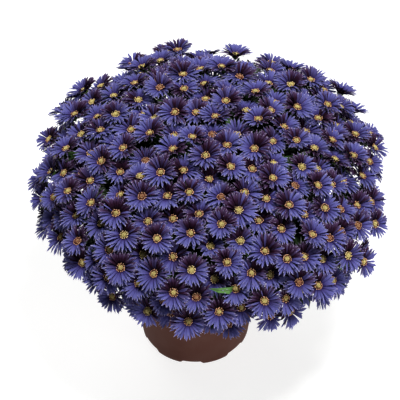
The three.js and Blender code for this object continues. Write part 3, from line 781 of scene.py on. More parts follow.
@dataclass(frozen=True)
class Routes:
    """Where copies of a shape run: a row for each copy, as a curve with its sideways direction."""

    start: Array
    control: Array
    end: Array
    side: Array
    width: Array
    depth: Array

    @classmethod
    def straight(cls, start: Array, end: Array, side: Array, width: Array) -> "Routes":
        """Returns straight routes for shapes as thick as they are wide."""
        return cls(start, (start + end) / 2, end, side, width, width)

    def picked(self, kept: Array) -> "Routes":
        """Returns the rows that are kept."""
        return Routes(
            self.start[kept], self.control[kept], self.end[kept], self.side[kept],
            self.width[kept], self.depth[kept],
        )

    def spots(self, shares: Array) -> Array:
        """Follows the curves.

        Args:
            shares: how far along each curve the spots lie, from 0 to 1.

        Returns:
            Spots with one row for each copy and one column for each share.
        """
        share = shares[None, :, None]
        start, control, end = (ends[:, None, :] for ends in (self.start, self.control, self.end))
        return (1 - share) ** 2 * start + 2 * share * (1 - share) * control + share**2 * end

    def carry(self, shape: Shape) -> Array:
        """Bends a copy of the shape along each route.

        Args:
            shape: the shape to copy.

        Returns:
            Places with one row for each copy and one column for each vertex.
        """
        share = shape.places[None, :, 1, None]
        start, control, end = (ends[:, None, :] for ends in (self.start, self.control, self.end))
        line = self.spots(shape.places[:, 1])
        heading = unit((1 - share) * (control - start) + share * (end - control))
        side = self.side[:, None, :]
        lift = unit(np.cross(side, heading))
        across = shape.places[None, :, 0, None] * self.width[:, None, None]
        rise = shape.places[None, :, 2, None] * self.depth[:, None, None]
        return line + side * across + lift * rise


class Tissue:
    """Gathers the copies that one piece is made of, with their patterns and finishes."""

    def __init__(self) -> None:
        """Starts with nothing gathered."""
        self.places: list[Array] = []
        self.patterns: list[Array] = []
        self.faces: list[list[int]] = []
        self.finishes: list[int] = []
        self.count = 0

    def add(
        self, shape: Shape, routes: Routes, finish: Finish, tint: Array,
        ripeness: Array | None = None, run: float = 1.0,
    ) -> None:
        """Adds copies of a shape.

        Args:
            shape: the shape to copy.
            routes: where the copies run.
            finish: the finish of all their faces.
            tint: the pattern's third part, one for each copy.
            ripeness: the pattern's first part, one for each copy, if not the places across.
            run: how far the pattern's second part runs from root to tip.
        """
        placed = routes.carry(shape)
        copies, corners = placed.shape[:2]
        pattern = np.empty((copies, corners, 3))
        pattern[:, :, 0] = shape.places[:, 0] if ripeness is None else ripeness[:, None]
        pattern[:, :, 1] = run * shape.places[:, 1]
        pattern[:, :, 2] = tint[:, None]
        offsets = self.count + corners * np.arange(copies)
        for faces in shape.faces:
            moved = (faces[None] + offsets[:, None, None]).reshape(-1, faces.shape[1])
            self.faces.extend(moved.tolist())
            self.finishes.extend([int(finish)] * len(moved))
        self.places.append(placed.reshape(-1, 3))
        self.patterns.append(pattern.reshape(-1, 3))
        self.count += copies * corners

    def build(self, name: str, materials: list[bpy.types.Material]) -> bpy.types.Object:
        """Builds one object from all that was gathered.

        Args:
            name: the object's name.
            materials: its finishes in slot order.

        Returns:
            The object.
        """
        mesh = bpy.data.meshes.new(name)
        mesh.from_pydata(np.concatenate(self.places).tolist(), [], self.faces)
        mesh.polygons.foreach_set("material_index", self.finishes)
        pattern = mesh.attributes.new(PATTERN, "FLOAT_VECTOR", "POINT")
        pattern.data.foreach_set("vector", np.concatenate(self.patterns).ravel())
        return link_piece(name, mesh, materials)


# Form of the solids


@dataclass(frozen=True)
class BloomForm:
    """Where a bloom sits and faces, and how far and how steeply its rays reach round it."""

    centre: Array
    normal: Array
    heading: Array
    reaches: Array
    rises: Array

    def between(self, values: Array, turns: Array) -> Array:
        """Fills values in smoothly between the solid's rays.

        Args:
            values: one for each ray of the solid, in order round the bloom.
            turns: the angles round the bloom where a value is wanted.

        Returns:
            The values there.
        """
        place = turns / math.tau * len(values)
        low = np.floor(place).astype(int)
        share = place - low
        share = share * share * (3 - 2 * share)
        before = values[low % len(values)]
        after = values[(low + 1) % len(values)]
        return before * (1 - share) + after * share

    def radial(self, turns: Array) -> Array:
        """Returns the directions outwards at these turns, in the bloom's plane."""
        across = np.cross(self.normal, self.heading)
        return np.cos(turns)[:, None] * self.heading + np.sin(turns)[:, None] * across


@dataclass(frozen=True)
class LeafForm:
    """A leaf of the solids: its root, its widest place, its tip and its sideways direction."""

    root: Array
    middle: Array
    tip: Array
    side: Array


def neighbours(vertex: bmesh.types.BMVert) -> list[bmesh.types.BMVert]:
    """Returns the vertices that share an edge with this one."""
    return [edge.other_vert(vertex) for edge in vertex.link_edges]


def mean_place(vertices: list[bmesh.types.BMVert]) -> Array:
    """Returns the middle of some vertices."""
    return np.mean([vertex.co for vertex in vertices], axis=0)


def in_order(vertices: set[bmesh.types.BMVert]) -> list[bmesh.types.BMVert]:
    """Returns vertices in the order of their mesh, which is the same each run."""
    return sorted(vertices, key=lambda vertex: vertex.index)


class SolidForm:
    """A merged copy of one solid of the frame, from which its form is read."""

    disc_radius = 4.2 * MM
    disc_crown = 1.4 * MM
    disc_lift = 0.9 * MM
    disc_corners = 4
    blade_corners = 3
    hole_corners = 3
    slack = 0.06 * MM
    least_leaf = 7 * MM

    def __init__(self, node: bpy.types.Object) -> None:
        """Copies the node's mesh and merges its loose triangles.

        Args:
            node: the solid of the frame.
        """
        self.mesh = bmesh.new()
        self.mesh.from_mesh(node.data)
        bmesh.ops.remove_doubles(self.mesh, verts=self.mesh.verts[:], dist=TOUCHING)
        self.mesh.verts.index_update()

    def take_blooms(self) -> list[BloomForm]:
        """Reads the blooms and takes them off their stalks.

        Returns:
            The blooms. Each is known by the even, low pyramid of its disc.
        """
        spoke = math.hypot(self.disc_radius, self.disc_crown)
        blooms = []
        taken = set()
        for apex in self.mesh.verts:
            rim = neighbours(apex)
            lengths = [edge.calc_length() for edge in apex.link_edges]
            even = all(abs(length - spoke) < self.slack for length in lengths)
            if len(rim) == self.disc_corners and even:
                ring = {spot for corner in rim for spot in neighbours(corner)} - {apex, *rim}
                blooms.append(self.read_bloom(apex, rim, in_order(ring)))
                taken |= {apex, *rim, *ring}
        self.take_off(taken)
        return blooms

    def read_bloom(
        self, apex: bmesh.types.BMVert, rim: list[bmesh.types.BMVert],
        ring: list[bmesh.types.BMVert],
    ) -> BloomForm:
        """Reads one bloom.

        Args:
            apex: the top of its disc.
            rim: the corners of its disc.
            ring: the tips of its rays and the valleys between them, in any order.

        Returns:
            Its form.
        """
        middle = mean_place(rim)
        normal = unit(np.array(apex.co) - middle)
        centre = middle - self.disc_lift * normal
        offsets = np.array([spot.co for spot in ring]) - centre
        start = square_to(normal, offsets[0])
        turns = np.arctan2(offsets @ np.cross(normal, start), offsets @ start)
        offsets = offsets[np.argsort(turns)]
        reaches = np.linalg.norm(offsets, axis=1)
        # Tips and valleys take turns, and the reach of the tips varies more.
        first = int(np.std(reaches[0::2]) < np.std(reaches[1::2]))
        tips = offsets[first::2]
        reaches = reaches[first::2]
        rises = np.arcsin(tips @ normal / reaches)
        return BloomForm(centre, normal, square_to(normal, tips[0]), reaches, rises)

    def take_leaves(self) -> list[LeafForm]:
        """Reads the leaves and takes them off their stem.

        Returns:
            The leaves. Each is known by the long edges that meet at its tip.
        """
        leaves = []
        taken = set()
        for tip in self.mesh.verts:
            blade = neighbours(tip)
            lengths = [edge.calc_length() for edge in tip.link_edges]
            if len(blade) == self.blade_corners and min(lengths) > self.least_leaf:
                roots = {spot for corner in blade for spot in neighbours(corner)} - {tip, *blade}
                leaves.append(self.read_leaf(tip, blade, in_order(roots)))
                taken |= {tip, *blade}
        self.take_off(taken)
        return leaves

    def read_leaf(
        self, tip: bmesh.types.BMVert, blade: list[bmesh.types.BMVert],
        roots: list[bmesh.types.BMVert],
    ) -> LeafForm:
        """Reads one leaf: the two corners furthest apart are its edges, the third is its keel.

        Args:
            tip: its tip.
            blade: the three corners where it is widest.
            roots: the corners where it leaves the stem.

        Returns:
            Its form.
        """
        places = [np.array(corner.co) for corner in blade]
        pairs = [(0, 1, 2), (1, 2, 0), (2, 0, 1)]
        left, right, keel = max(
            pairs, key=lambda pair: np.linalg.norm(places[pair[0]] - places[pair[1]])
        )
        middle = (places[left] + places[right]) / 2
        side = unit(places[right] - places[left])
        tip_place = np.array(tip.co)
        facing = np.cross(side, tip_place - middle)
        if np.dot(facing, middle - places[keel]) < 0:
            side = -side
        return LeafForm(mean_place(roots), middle, tip_place, side)

    def take_off(self, vertices: set[bmesh.types.BMVert]) -> None:
        """Deletes vertices and closes the three-cornered holes that they leave.

        Args:
            vertices: the vertices that go.
        """
        bmesh.ops.delete(self.mesh, geom=in_order(vertices), context="VERTS")
        open_edges = [edge for edge in self.mesh.edges if edge.is_boundary]
        bmesh.ops.holes_fill(self.mesh, edges=open_edges, sides=self.hole_corners)

    def face_near(self, place: Array) -> tuple[bmesh.types.BMFace, float]:
        """Finds the face whose middle is nearest to a place.

        Args:
            place: the place.

        Returns:
            The face, and how far its middle is.
        """
        point = Vector(place)
        face = min(self.mesh.faces, key=lambda one: (one.calc_center_median() - point).length)
        return face, (face.calc_center_median() - point).length

    def lengthen(self, face: bmesh.types.BMFace, length: float) -> None:
        """Draws an end face out, so that the stalk still reaches its neighbour once rounded.

        Args:
            face: the end face.
            length: how far it is drawn out.
        """
        step = face.normal * length
        made = bmesh.ops.extrude_face_region(self.mesh, geom=[face])
        spots = [part for part in made["geom"] if isinstance(part, bmesh.types.BMVert)]
        bmesh.ops.translate(self.mesh, verts=spots, vec=step)

    def rounded(
        self, name: str, levels: int, materials: list[bpy.types.Material]
    ) -> bpy.types.Object:
        """Rounds the corners of the stalk that is left.

        Args:
            name: the object's name.
            levels: how often its faces are subdivided.
            materials: its finishes in slot order.

        Returns:
            The stalk as an object.
        """
        bmesh.ops.recalc_face_normals(self.mesh, faces=self.mesh.faces[:])
        for face in self.mesh.faces:
            face.material_index = Finish.STALK
        mesh = bpy.data.meshes.new(name)
        self.mesh.to_mesh(mesh)
        self.mesh.free()
        piece = link_piece(name, mesh, materials)
        apply_modifier(piece, "SUBSURF", levels=levels, render_levels=levels)
        return piece


# Blooms


@dataclass(frozen=True)
class Growth:
    """What one piece grows with: shapes to copy, the tissue that gathers them and its chance."""

    shapes: dict[Part, Shape]
    tissue: Tissue
    chance: Chance


@dataclass(frozen=True)
class RayLayer:
    """One layer of a bloom's rays."""

    rays: int
    length_share: float
    rise_degrees: float
    lift_mm: float
    width_mm: float
    arch_mm: float


@dataclass(frozen=True)
class FloretRing:
    """Disc florets of one kind: spread from the inner to the outer share of the disc's radius."""

    part: Part
    florets: int
    inner: float
    outer: float
    height_mm: float
    width_mm: float
    ripeness: float
    run: float = 1.0


@dataclass(frozen=True)
class Daisy:
    """A bloom: rays in three layers round a disc of florets, over a green cup of bracts."""

    layers: tuple[RayLayer, ...] = (
        RayLayer(26, 1.0, -4.0, -0.2, 2.05, 2.6),
        RayLayer(22, 0.95, 2.0, 0.1, 1.95, 2.6),
        RayLayer(18, 0.85, 8.0, 0.5, 1.75, 2.4),
    )
    ray_root_mm: float = 3.0
    ray_depth_mm: float = 0.8
    spacing_spread: float = 0.3
    length_spread: float = 0.1
    width_spread: float = 0.15
    rise_spread_degrees: float = 7.0
    dark_rise_degrees: float = 8.0
    twist_degrees: float = 46.0
    least_twist: float = 0.3
    # Rays on the side that turns upwards stand up more, and are tinted darker purple there as
    # painted shade.
    sunward_spread: float = 0.22
    flat_slope: float = 0.3
    hue_range: tuple[float, float] = (0.1, 0.62)
    painted_shade_tint: float = 1.1
    tint_spread: float = 0.38
    rings: tuple[FloretRing, ...] = (
        FloretRing(Part.BUD, 22, 0.0, 0.66, 1.3, 1.15, 0.1),
        FloretRing(Part.BUD, 13, 0.8, 0.8, 1.9, 1.1, 0.5, 0.85),
        FloretRing(Part.TUBE, 15, 0.98, 0.98, 2.1, 1.05, 0.85),
    )
    ages: tuple[float, ...] = (-0.3, 0.0, 0.15, 0.6)
    age_odds: tuple[float, ...] = (0.18, 0.34, 0.36, 0.12)
    ripeness_spread: float = 0.2
    turn_spread: float = 0.25
    out_spread: tuple[float, float] = (0.88, 1.06)
    height_spread: tuple[float, float] = (0.6, 1.15)
    disc_radius_mm: float = 3.3
    disc_height_mm: float = 1.8
    disc_foot_mm: float = 0.5
    floret_sink_mm: float = 0.4
    floret_lean: float = 0.35
    crown_sink_mm: float = 0.3
    crown_shade_run: float = 0.3
    cup_depth_mm: float = 4.6
    cup_width_mm: float = 7.4
    cup_rise_mm: float = 0.1

    def grow(self, form: BloomForm, growth: Growth) -> None:
        """Grows one bloom.

        Args:
            form: where it sits and how its rays reach.
            growth: what it grows with.
        """
        chance = growth.chance
        hue = chance.uniform(*self.hue_range)
        sunward = UP + chance.normal(scale=self.sunward_spread, size=3)
        dark_side = sunward - form.normal * (form.normal @ sunward)
        dark_side = dark_side / max(np.linalg.norm(dark_side), self.flat_slope)
        offset = chance.uniform(0, math.tau)
        for index, layer in enumerate(self.layers):
            self.grow_rays(form, layer, offset + index, hue, dark_side, growth)
        self.grow_disc(form, growth)
        self.grow_cup(form, growth)

    def grow_rays(
        self, form: BloomForm, layer: RayLayer, offset: float, hue: float, dark_side: Array,
        growth: Growth,
    ) -> None:
        """Grows one layer of rays, each bent as the solid's rays beside it are.

        Args:
            form: the bloom that they belong to.
            layer: their layer.
            offset: the angle of the first ray.
            hue: the bloom's own share of purple.
            dark_side: the direction in which its rays stand up more and get a painted shade tint,
                at most of unit length.
            growth: what they grow with.
        """
        chance = growth.chance
        shifts = chance.uniform(-self.spacing_spread, self.spacing_spread, layer.rays)
        turns = offset + math.tau / layer.rays * (np.arange(layer.rays) + shifts)
        longer, steeper, turned, wider = chance.uniform(-1, 1, (4, layer.rays))
        outward = form.radial(turns)
        shade_share = outward @ dark_side
        reach = form.between(form.reaches, turns) * layer.length_share
        reach = reach * (1 + self.length_spread * longer)
        degrees = layer.rise_degrees + self.rise_spread_degrees * steeper
        degrees = degrees + self.dark_rise_degrees * shade_share
        rise = form.between(form.rises, turns) + np.radians(degrees)
        root = form.centre + layer.lift_mm * MM * form.normal
        start = root + outward * self.ray_root_mm * MM
        end = form.centre + outward * (reach * np.cos(rise))[:, None]
        end = end + form.normal * (reach * np.sin(rise))[:, None]
        lift = form.normal * np.cos(rise)[:, None] - outward * np.sin(rise)[:, None]
        control = (start + end) / 2 + lift * layer.arch_mm * MM
        loose = self.least_twist + (1 - self.least_twist) * np.clip(shade_share, 0, 1)
        twist = math.radians(self.twist_degrees) * loose * turned
        side = np.cross(outward, form.normal)
        side = side * np.cos(twist)[:, None] + lift * np.sin(twist)[:, None]
        width = layer.width_mm * MM * (1 + self.width_spread * wider)
        depth = np.full(layer.rays, self.ray_depth_mm * MM)
        # Rays towards the dark side mix in more of the dark purple ramp: painted shade.
        tint = hue + self.painted_shade_tint * shade_share + self.tint_spread * chance.normal(size=layer.rays)
        routes = Routes(start, control, end, side, width, depth)
        growth.tissue.add(growth.shapes[Part.RAY], routes, Finish.RAY, np.clip(tint, 0, 1))

    def grow_disc(self, form: BloomForm, growth: Growth) -> None:
        """Grows the disc: a low crown covered in florets, shut inside and open at the rim.

        Args:
            form: the bloom that it belongs to.
            growth: what it grows with.
        """
        chance = growth.chance
        age = chance.choice(self.ages, p=self.age_odds)
        for ring in self.rings:
            order = np.arange(ring.florets)
            if ring.inner < ring.outer:
                turns = order * GOLDEN_ANGLE
                out = ring.outer * np.sqrt((order + 0.5) / ring.florets)
            else:
                shifts = chance.uniform(-self.turn_spread, self.turn_spread, ring.florets)
                turns = math.tau / ring.florets * (order + shifts)
                out = ring.outer * chance.uniform(*self.out_spread, ring.florets)
            shifts = chance.uniform(-self.ripeness_spread, self.ripeness_spread, ring.florets)
            ripeness = np.clip(ring.ripeness + age + shifts, 0, 1)
            height = ring.height_mm * chance.uniform(*self.height_spread, ring.florets)
            self.grow_florets(form, ring, turns, out, height, ripeness, growth)
        foot = form.centre[None] - form.normal * self.crown_sink_mm * MM
        top = form.centre[None] + form.normal * (self.disc_foot_mm + self.disc_height_mm) * MM
        wide = np.array((2 * self.disc_radius_mm * MM,))
        routes = Routes.straight(foot, top, form.heading[None], wide)
        # The crown takes only the dark foot of the tube ramp: painted shade under the florets.
        crown = growth.shapes[Part.CROWN]
        growth.tissue.add(crown, routes, Finish.DISC, np.zeros(1), np.ones(1), self.crown_shade_run)

    def grow_florets(
        self, form: BloomForm, ring: FloretRing, turns: Array, out: Array, height: Array,
        ripeness: Array, growth: Growth,
    ) -> None:
        """Grows the disc florets of one ring.

        Args:
            form: the bloom that they belong to.
            ring: their kind.
            turns: how far each is round the disc.
            out: how far each is from the middle, as a share of the disc's radius.
            height: the height of each in millimetres.
            ripeness: how far each has opened and browned, from 0 to 1.
            growth: what they grow with.
        """
        outward = form.radial(turns)
        crown = self.disc_foot_mm + self.disc_height_mm * (1 - out**2) - self.floret_sink_mm
        start = form.centre + outward * (out * self.disc_radius_mm * MM)[:, None]
        start = start + form.normal * (crown * MM)[:, None]
        aim = unit(form.normal + outward * (self.floret_lean * out**3)[:, None])
        end = start + aim * (height * MM)[:, None]
        side = square_to(aim, np.cross(outward, form.normal))
        routes = Routes.straight(start, end, side, np.full(len(turns), ring.width_mm * MM))
        growth.tissue.add(growth.shapes[ring.part], routes, Finish.DISC, out, ripeness, ring.run)

    def grow_cup(self, form: BloomForm, growth: Growth) -> None:
        """Grows the green cup of bracts under the rays, down over the end of the stalk.

        Args:
            form: the bloom that it belongs to.
            growth: what it grows with.
        """
        foot = form.centre[None] - form.normal * self.cup_depth_mm * MM
        top = form.centre[None] + form.normal * self.cup_rise_mm * MM
        wide = np.array((self.cup_width_mm * MM,))
        routes = Routes.straight(foot, top, form.heading[None], wide)
        growth.tissue.add(growth.shapes[Part.CUP], routes, Finish.STALK, np.zeros(1), np.zeros(1))


# Leaves


@dataclass(frozen=True)
class Foliage:
    """Lance leaves that grow from the faces of a stalk."""

    length_mm: tuple[float, float]
    slimness: float
    lean: float
    wander: float = 0.28
    centre_drop: float = 0.75
    facing_up: float = 0.6
    arch: float = 0.1
    droop: float = 0.16
    depth_share: float = 0.3
    rim_zone_mm: tuple[float, float] = (69, 81)
    rim_clear_mm: float = 137
    rim_spots: int = 16
    old_tints: tuple[float, float] = (0.0, 0.6)
    fresh_tints: tuple[float, float] = (0.8, 1.0)
    fresh_share: float = 0.08

    def routes(self, root: Array, normal: Array, chance: Chance) -> Routes:
        """Lets leaves leave a stalk.

        Args:
            root: the roots, one row for each leaf.
            normal: the stalk's outward direction at each root.
            chance: the seeded source of variation.

        Returns:
            The routes of the leaves.
        """
        count = len(root)
        upward = unit(root - GROWTH_CENTRE * (1, 1, self.centre_drop))
        wander = chance.normal(scale=self.wander, size=(count, 3))
        heading = unit(normal + self.lean * upward + wander)
        length = chance.uniform(*self.length_mm, count) * MM
        facing = square_to(heading, upward + self.facing_up * UP + wander)
        reach = heading * length[:, None]
        end = root + reach - facing * (self.droop * length)[:, None]
        control = root + reach / 2 + facing * (self.arch * length)[:, None]
        width = length * self.slimness
        return Routes(
            root, control, end, np.cross(heading, facing), width, width * self.depth_share
        )

    def clear_of_rim(self, routes: Routes) -> Array:
        """Tells which leaves stay clear of the pot's rim and wall.

        Args:
            routes: the leaves.

        Returns:
            True for each leaf that does.
        """
        spots = routes.spots(np.linspace(0, 1, self.rim_spots))
        out = np.linalg.norm(spots[..., :2], axis=2)
        inner, outer = (radius * MM for radius in self.rim_zone_mm)
        low = spots[..., 2] < self.rim_clear_mm * MM
        return ~np.any((out > inner) & (out < outer) & low, axis=1)

    def tints(self, count: int, chance: Chance) -> Array:
        """Draws the tints of leaves, a few of them fresh green.

        Args:
            count: how many leaves.
            chance: the seeded source of variation.

        Returns:
            One tint for each leaf.
        """
        tint = chance.uniform(*self.old_tints, count)
        fresh = chance.uniform(size=count) < self.fresh_share
        return np.where(fresh, chance.uniform(*self.fresh_tints, count), tint)


def pick_faces(
    piece: bpy.types.Object, count: int, chance: Chance, lowest: float = 0.0
) -> tuple[Array, Array]:
    """Picks faces of a stalk by chance, larger ones more often.

    Args:
        piece: the stalk.
        count: how many faces.
        chance: the seeded source of the choice.
        lowest: the height above which they lie.

    Returns:
        The faces' middles and normals.
    """
    faces = [face for face in piece.data.polygons if face.center.z > lowest]
    # An extruded mesh may list its faces in another order each run, so they go by their place.
    faces.sort(key=lambda face: tuple(face.center))
    area = np.array([face.area for face in faces])
    picked = chance.choice(len(faces), count, p=area / area.sum())
    middles = np.array([faces[index].center for index in picked])
    normals = np.array([faces[index].normal for index in picked])
    return middles, normals


# Pieces of the plant


@dataclass(frozen=True)
class BrightLeaf:
    """The fresh leaf whose tip lies over the rays, low on the front of the dome."""

    bunch: int = 24
    bend_mm: tuple[float, float, float] = (34, -168, 244.5)
    tip_mm: tuple[float, float, float] = (12, -158.4, 242)
    width_mm: float = 6.5
    depth_mm: float = 1.6
    tint: float = 1.0

    def grow(self, stalk: bpy.types.Object, growth: Growth) -> None:
        """Grows the leaf from the nearest place on the branch.

        Args:
            stalk: the branch that it grows from.
            growth: what it grows with.
        """
        bend = np.array(self.bend_mm) * MM
        tip = np.array(self.tip_mm) * MM
        faces = stalk.data.polygons
        root = np.array(min(faces, key=lambda face: (face.center - Vector(bend)).length).center)
        side = unit(np.cross(tip - bend, tip - GROWTH_CENTRE))
        sizes = np.array((self.width_mm, self.depth_mm)) * MM
        routes = Routes(root[None], bend[None], tip[None], side[None], sizes[:1], sizes[1:])
        growth.tissue.add(
            growth.shapes[Part.LEAF], routes, Finish.LEAF, np.array((self.tint,))
        )


@dataclass(frozen=True)
class BloomBunch:
    """One bunch: its flowering branch, pedicels, small leaves and blooms."""

    number: int
    daisy: Daisy = Daisy()
    leaves_per_bloom: int = 22
    foliage: Foliage = Foliage((12, 28), 0.22, 1.4)
    bright_leaf: BrightLeaf = BrightLeaf()
    clear_of_rays_mm: float = 2.5
    foot_overlap_mm: float = 2.0
    levels: int = 1
    crease_degrees: float = 50

    def grow(
        self, node: bpy.types.Object, shapes: dict[Part, Shape],
        materials: list[bpy.types.Material],
    ) -> tuple[bpy.types.Object, Array]:
        """Grows the bunch round its solid.

        Args:
            node: the solid that gives the form.
            shapes: the shapes that its florets and leaves are copied from.
            materials: the finishes in slot order.

        Returns:
            The piece, and the place where the bunch meets its stem.
        """
        name = f"bloom_bunch_{self.number:02d}"
        growth = Growth(shapes, Tissue(), np.random.default_rng(SEED + self.number))
        form = SolidForm(node)
        blooms = form.take_blooms()
        base, _ = form.face_near(GROWTH_CENTRE)
        foot = np.array(base.calc_center_median())
        form.lengthen(base, self.foot_overlap_mm * MM)
        stalk = form.rounded(f"{name}_stalk", self.levels, materials)
        for bloom in blooms:
            self.daisy.grow(bloom, growth)
        self.add_leaves(stalk, blooms, growth)
        if self.number == self.bright_leaf.bunch:
            self.bright_leaf.grow(stalk, growth)
        piece = growth.tissue.build(name, materials)
        join_pieces(piece, stalk)
        smooth(piece, self.crease_degrees)
        return piece, foot

    def add_leaves(
        self, stalk: bpy.types.Object, blooms: list[BloomForm], growth: Growth
    ) -> None:
        """Adds the small leaves of the branch, where they stay below the rays.

        Args:
            stalk: the branch that they grow from.
            blooms: the blooms above them.
            growth: what they grow with.
        """
        count = self.leaves_per_bloom * len(blooms)
        middles, normals = pick_faces(stalk, count, growth.chance)
        routes = self.foliage.routes(middles, normals, growth.chance)
        centres = np.array([bloom.centre for bloom in blooms])
        upward = np.array([bloom.normal for bloom in blooms])
        away = np.linalg.norm(routes.end[:, None] - centres[None], axis=2)
        nearest = np.argmin(away, axis=1)
        above = np.sum((routes.end - centres[nearest]) * upward[nearest], axis=1)
        kept = (above < -self.clear_of_rays_mm * MM) & self.foliage.clear_of_rim(routes)
        tint = self.foliage.tints(int(kept.sum()), growth.chance)
        growth.tissue.add(growth.shapes[Part.LEAF], routes.picked(kept), Finish.LEAF, tint)


@dataclass(frozen=True)
class LeafyStem:
    """One stem that forks below its bunches, with the solid's leaves and more between them."""

    number: int
    extra_leaves: int = 330
    foliage: Foliage = Foliage((24, 46), 0.18, 0.9)
    lowest_leaf_mm: float = 128
    foot_reach_mm: float = 1.0
    branch_overlap_mm: float = 3.0
    middle_share: float = 0.45
    levels: int = 2
    crease_degrees: float = 50

    def grow(
        self, node: bpy.types.Object, feet: list[Array], shapes: dict[Part, Shape],
        materials: list[bpy.types.Material],
    ) -> bpy.types.Object:
        """Grows the stem round its solid.

        Args:
            node: the solid that gives the form.
            feet: where the bunches start, some of them on this stem.
            shapes: the shapes that its leaves are copied from.
            materials: the finishes in slot order.

        Returns:
            The piece.
        """
        name = f"leafy_stem_{self.number:02d}"
        growth = Growth(shapes, Tissue(), np.random.default_rng(STEM_SEED + self.number))
        form = SolidForm(node)
        leaves = form.take_leaves()
        for foot in feet:
            face, gap = form.face_near(foot)
            if gap < self.foot_reach_mm * MM:
                form.lengthen(face, self.branch_overlap_mm * MM)
        stalk = form.rounded(f"{name}_stalk", self.levels, materials)
        self.add_solid_leaves(leaves, growth)
        lowest = self.lowest_leaf_mm * MM
        middles, normals = pick_faces(stalk, self.extra_leaves, growth.chance, lowest)
        routes = self.foliage.routes(middles, normals, growth.chance)
        routes = routes.picked(self.foliage.clear_of_rim(routes))
        tint = self.foliage.tints(len(routes.start), growth.chance)
        growth.tissue.add(shapes[Part.LEAF], routes, Finish.LEAF, tint)
        piece = growth.tissue.build(name, materials)
        join_pieces(piece, stalk)
        smooth(piece, self.crease_degrees)
        return piece

    def add_solid_leaves(self, leaves: list[LeafForm], growth: Growth) -> None:
        """Adds a finer leaf along each leaf of the solid.

        Args:
            leaves: the leaves of the solid.
            growth: what they grow with.
        """
        start = np.array([leaf.root for leaf in leaves])
        middle = np.array([leaf.middle for leaf in leaves])
        end = np.array([leaf.tip for leaf in leaves])
        side = np.array([leaf.side for leaf in leaves])
        share = self.middle_share
        control = middle - (1 - share) ** 2 * start - share**2 * end
        control = control / (2 * share * (1 - share))
        width = np.linalg.norm(end - start, axis=1) * self.foliage.slimness
        routes = Routes(start, control, end, side, width, width * self.foliage.depth_share)
        tint = self.foliage.tints(len(leaves), growth.chance)
        growth.tissue.add(growth.shapes[Part.LEAF], routes, Finish.LEAF, tint)


class Plant:
    """All that grows: the bunches of blooms and the leafy stems that carry them."""

    def __init__(self, nodes: dict[str, bpy.types.Object]) -> None:
        """Models the shapes to copy and makes the finishes.

        Args:
            nodes: the solids of the frame by name.
        """
        self.nodes = nodes
        self.shapes = {part: shoot.model() for part, shoot in SHOOTS.items()}
        finishes = {
            Finish.RAY: RayTissue(),
            Finish.DISC: DiscTissue(),
            Finish.STALK: StalkBark(),
            Finish.LEAF: LeafSkin(),
        }
        self.materials = [finishes[finish].make() for finish in Finish]
        self.feet: list[Array] = []

    def named(self, prefix: str) -> dict[int, str]:
        """Returns the solids whose name starts so, by their number."""
        names = sorted(name for name in self.nodes if name.startswith(prefix))
        return {int(name.removeprefix(prefix)): name for name in names}

    def grow_bunch(self, number: int, name: str) -> bpy.types.Object:
        """Grows one bunch and notes where it meets its stem.

        Args:
            number: the bunch's number.
            name: its solid's name.

        Returns:
            The piece.
        """
        bunch = BloomBunch(number)
        piece, foot = bunch.grow(self.nodes[name], self.shapes, self.materials)
        self.feet.append(foot)
        return piece

    def grow_stem(self, number: int, name: str) -> bpy.types.Object:
        """Grows one stem, up to the feet of its bunches."""
        return LeafyStem(number).grow(self.nodes[name], self.feet, self.shapes, self.materials)


# Pot and soil


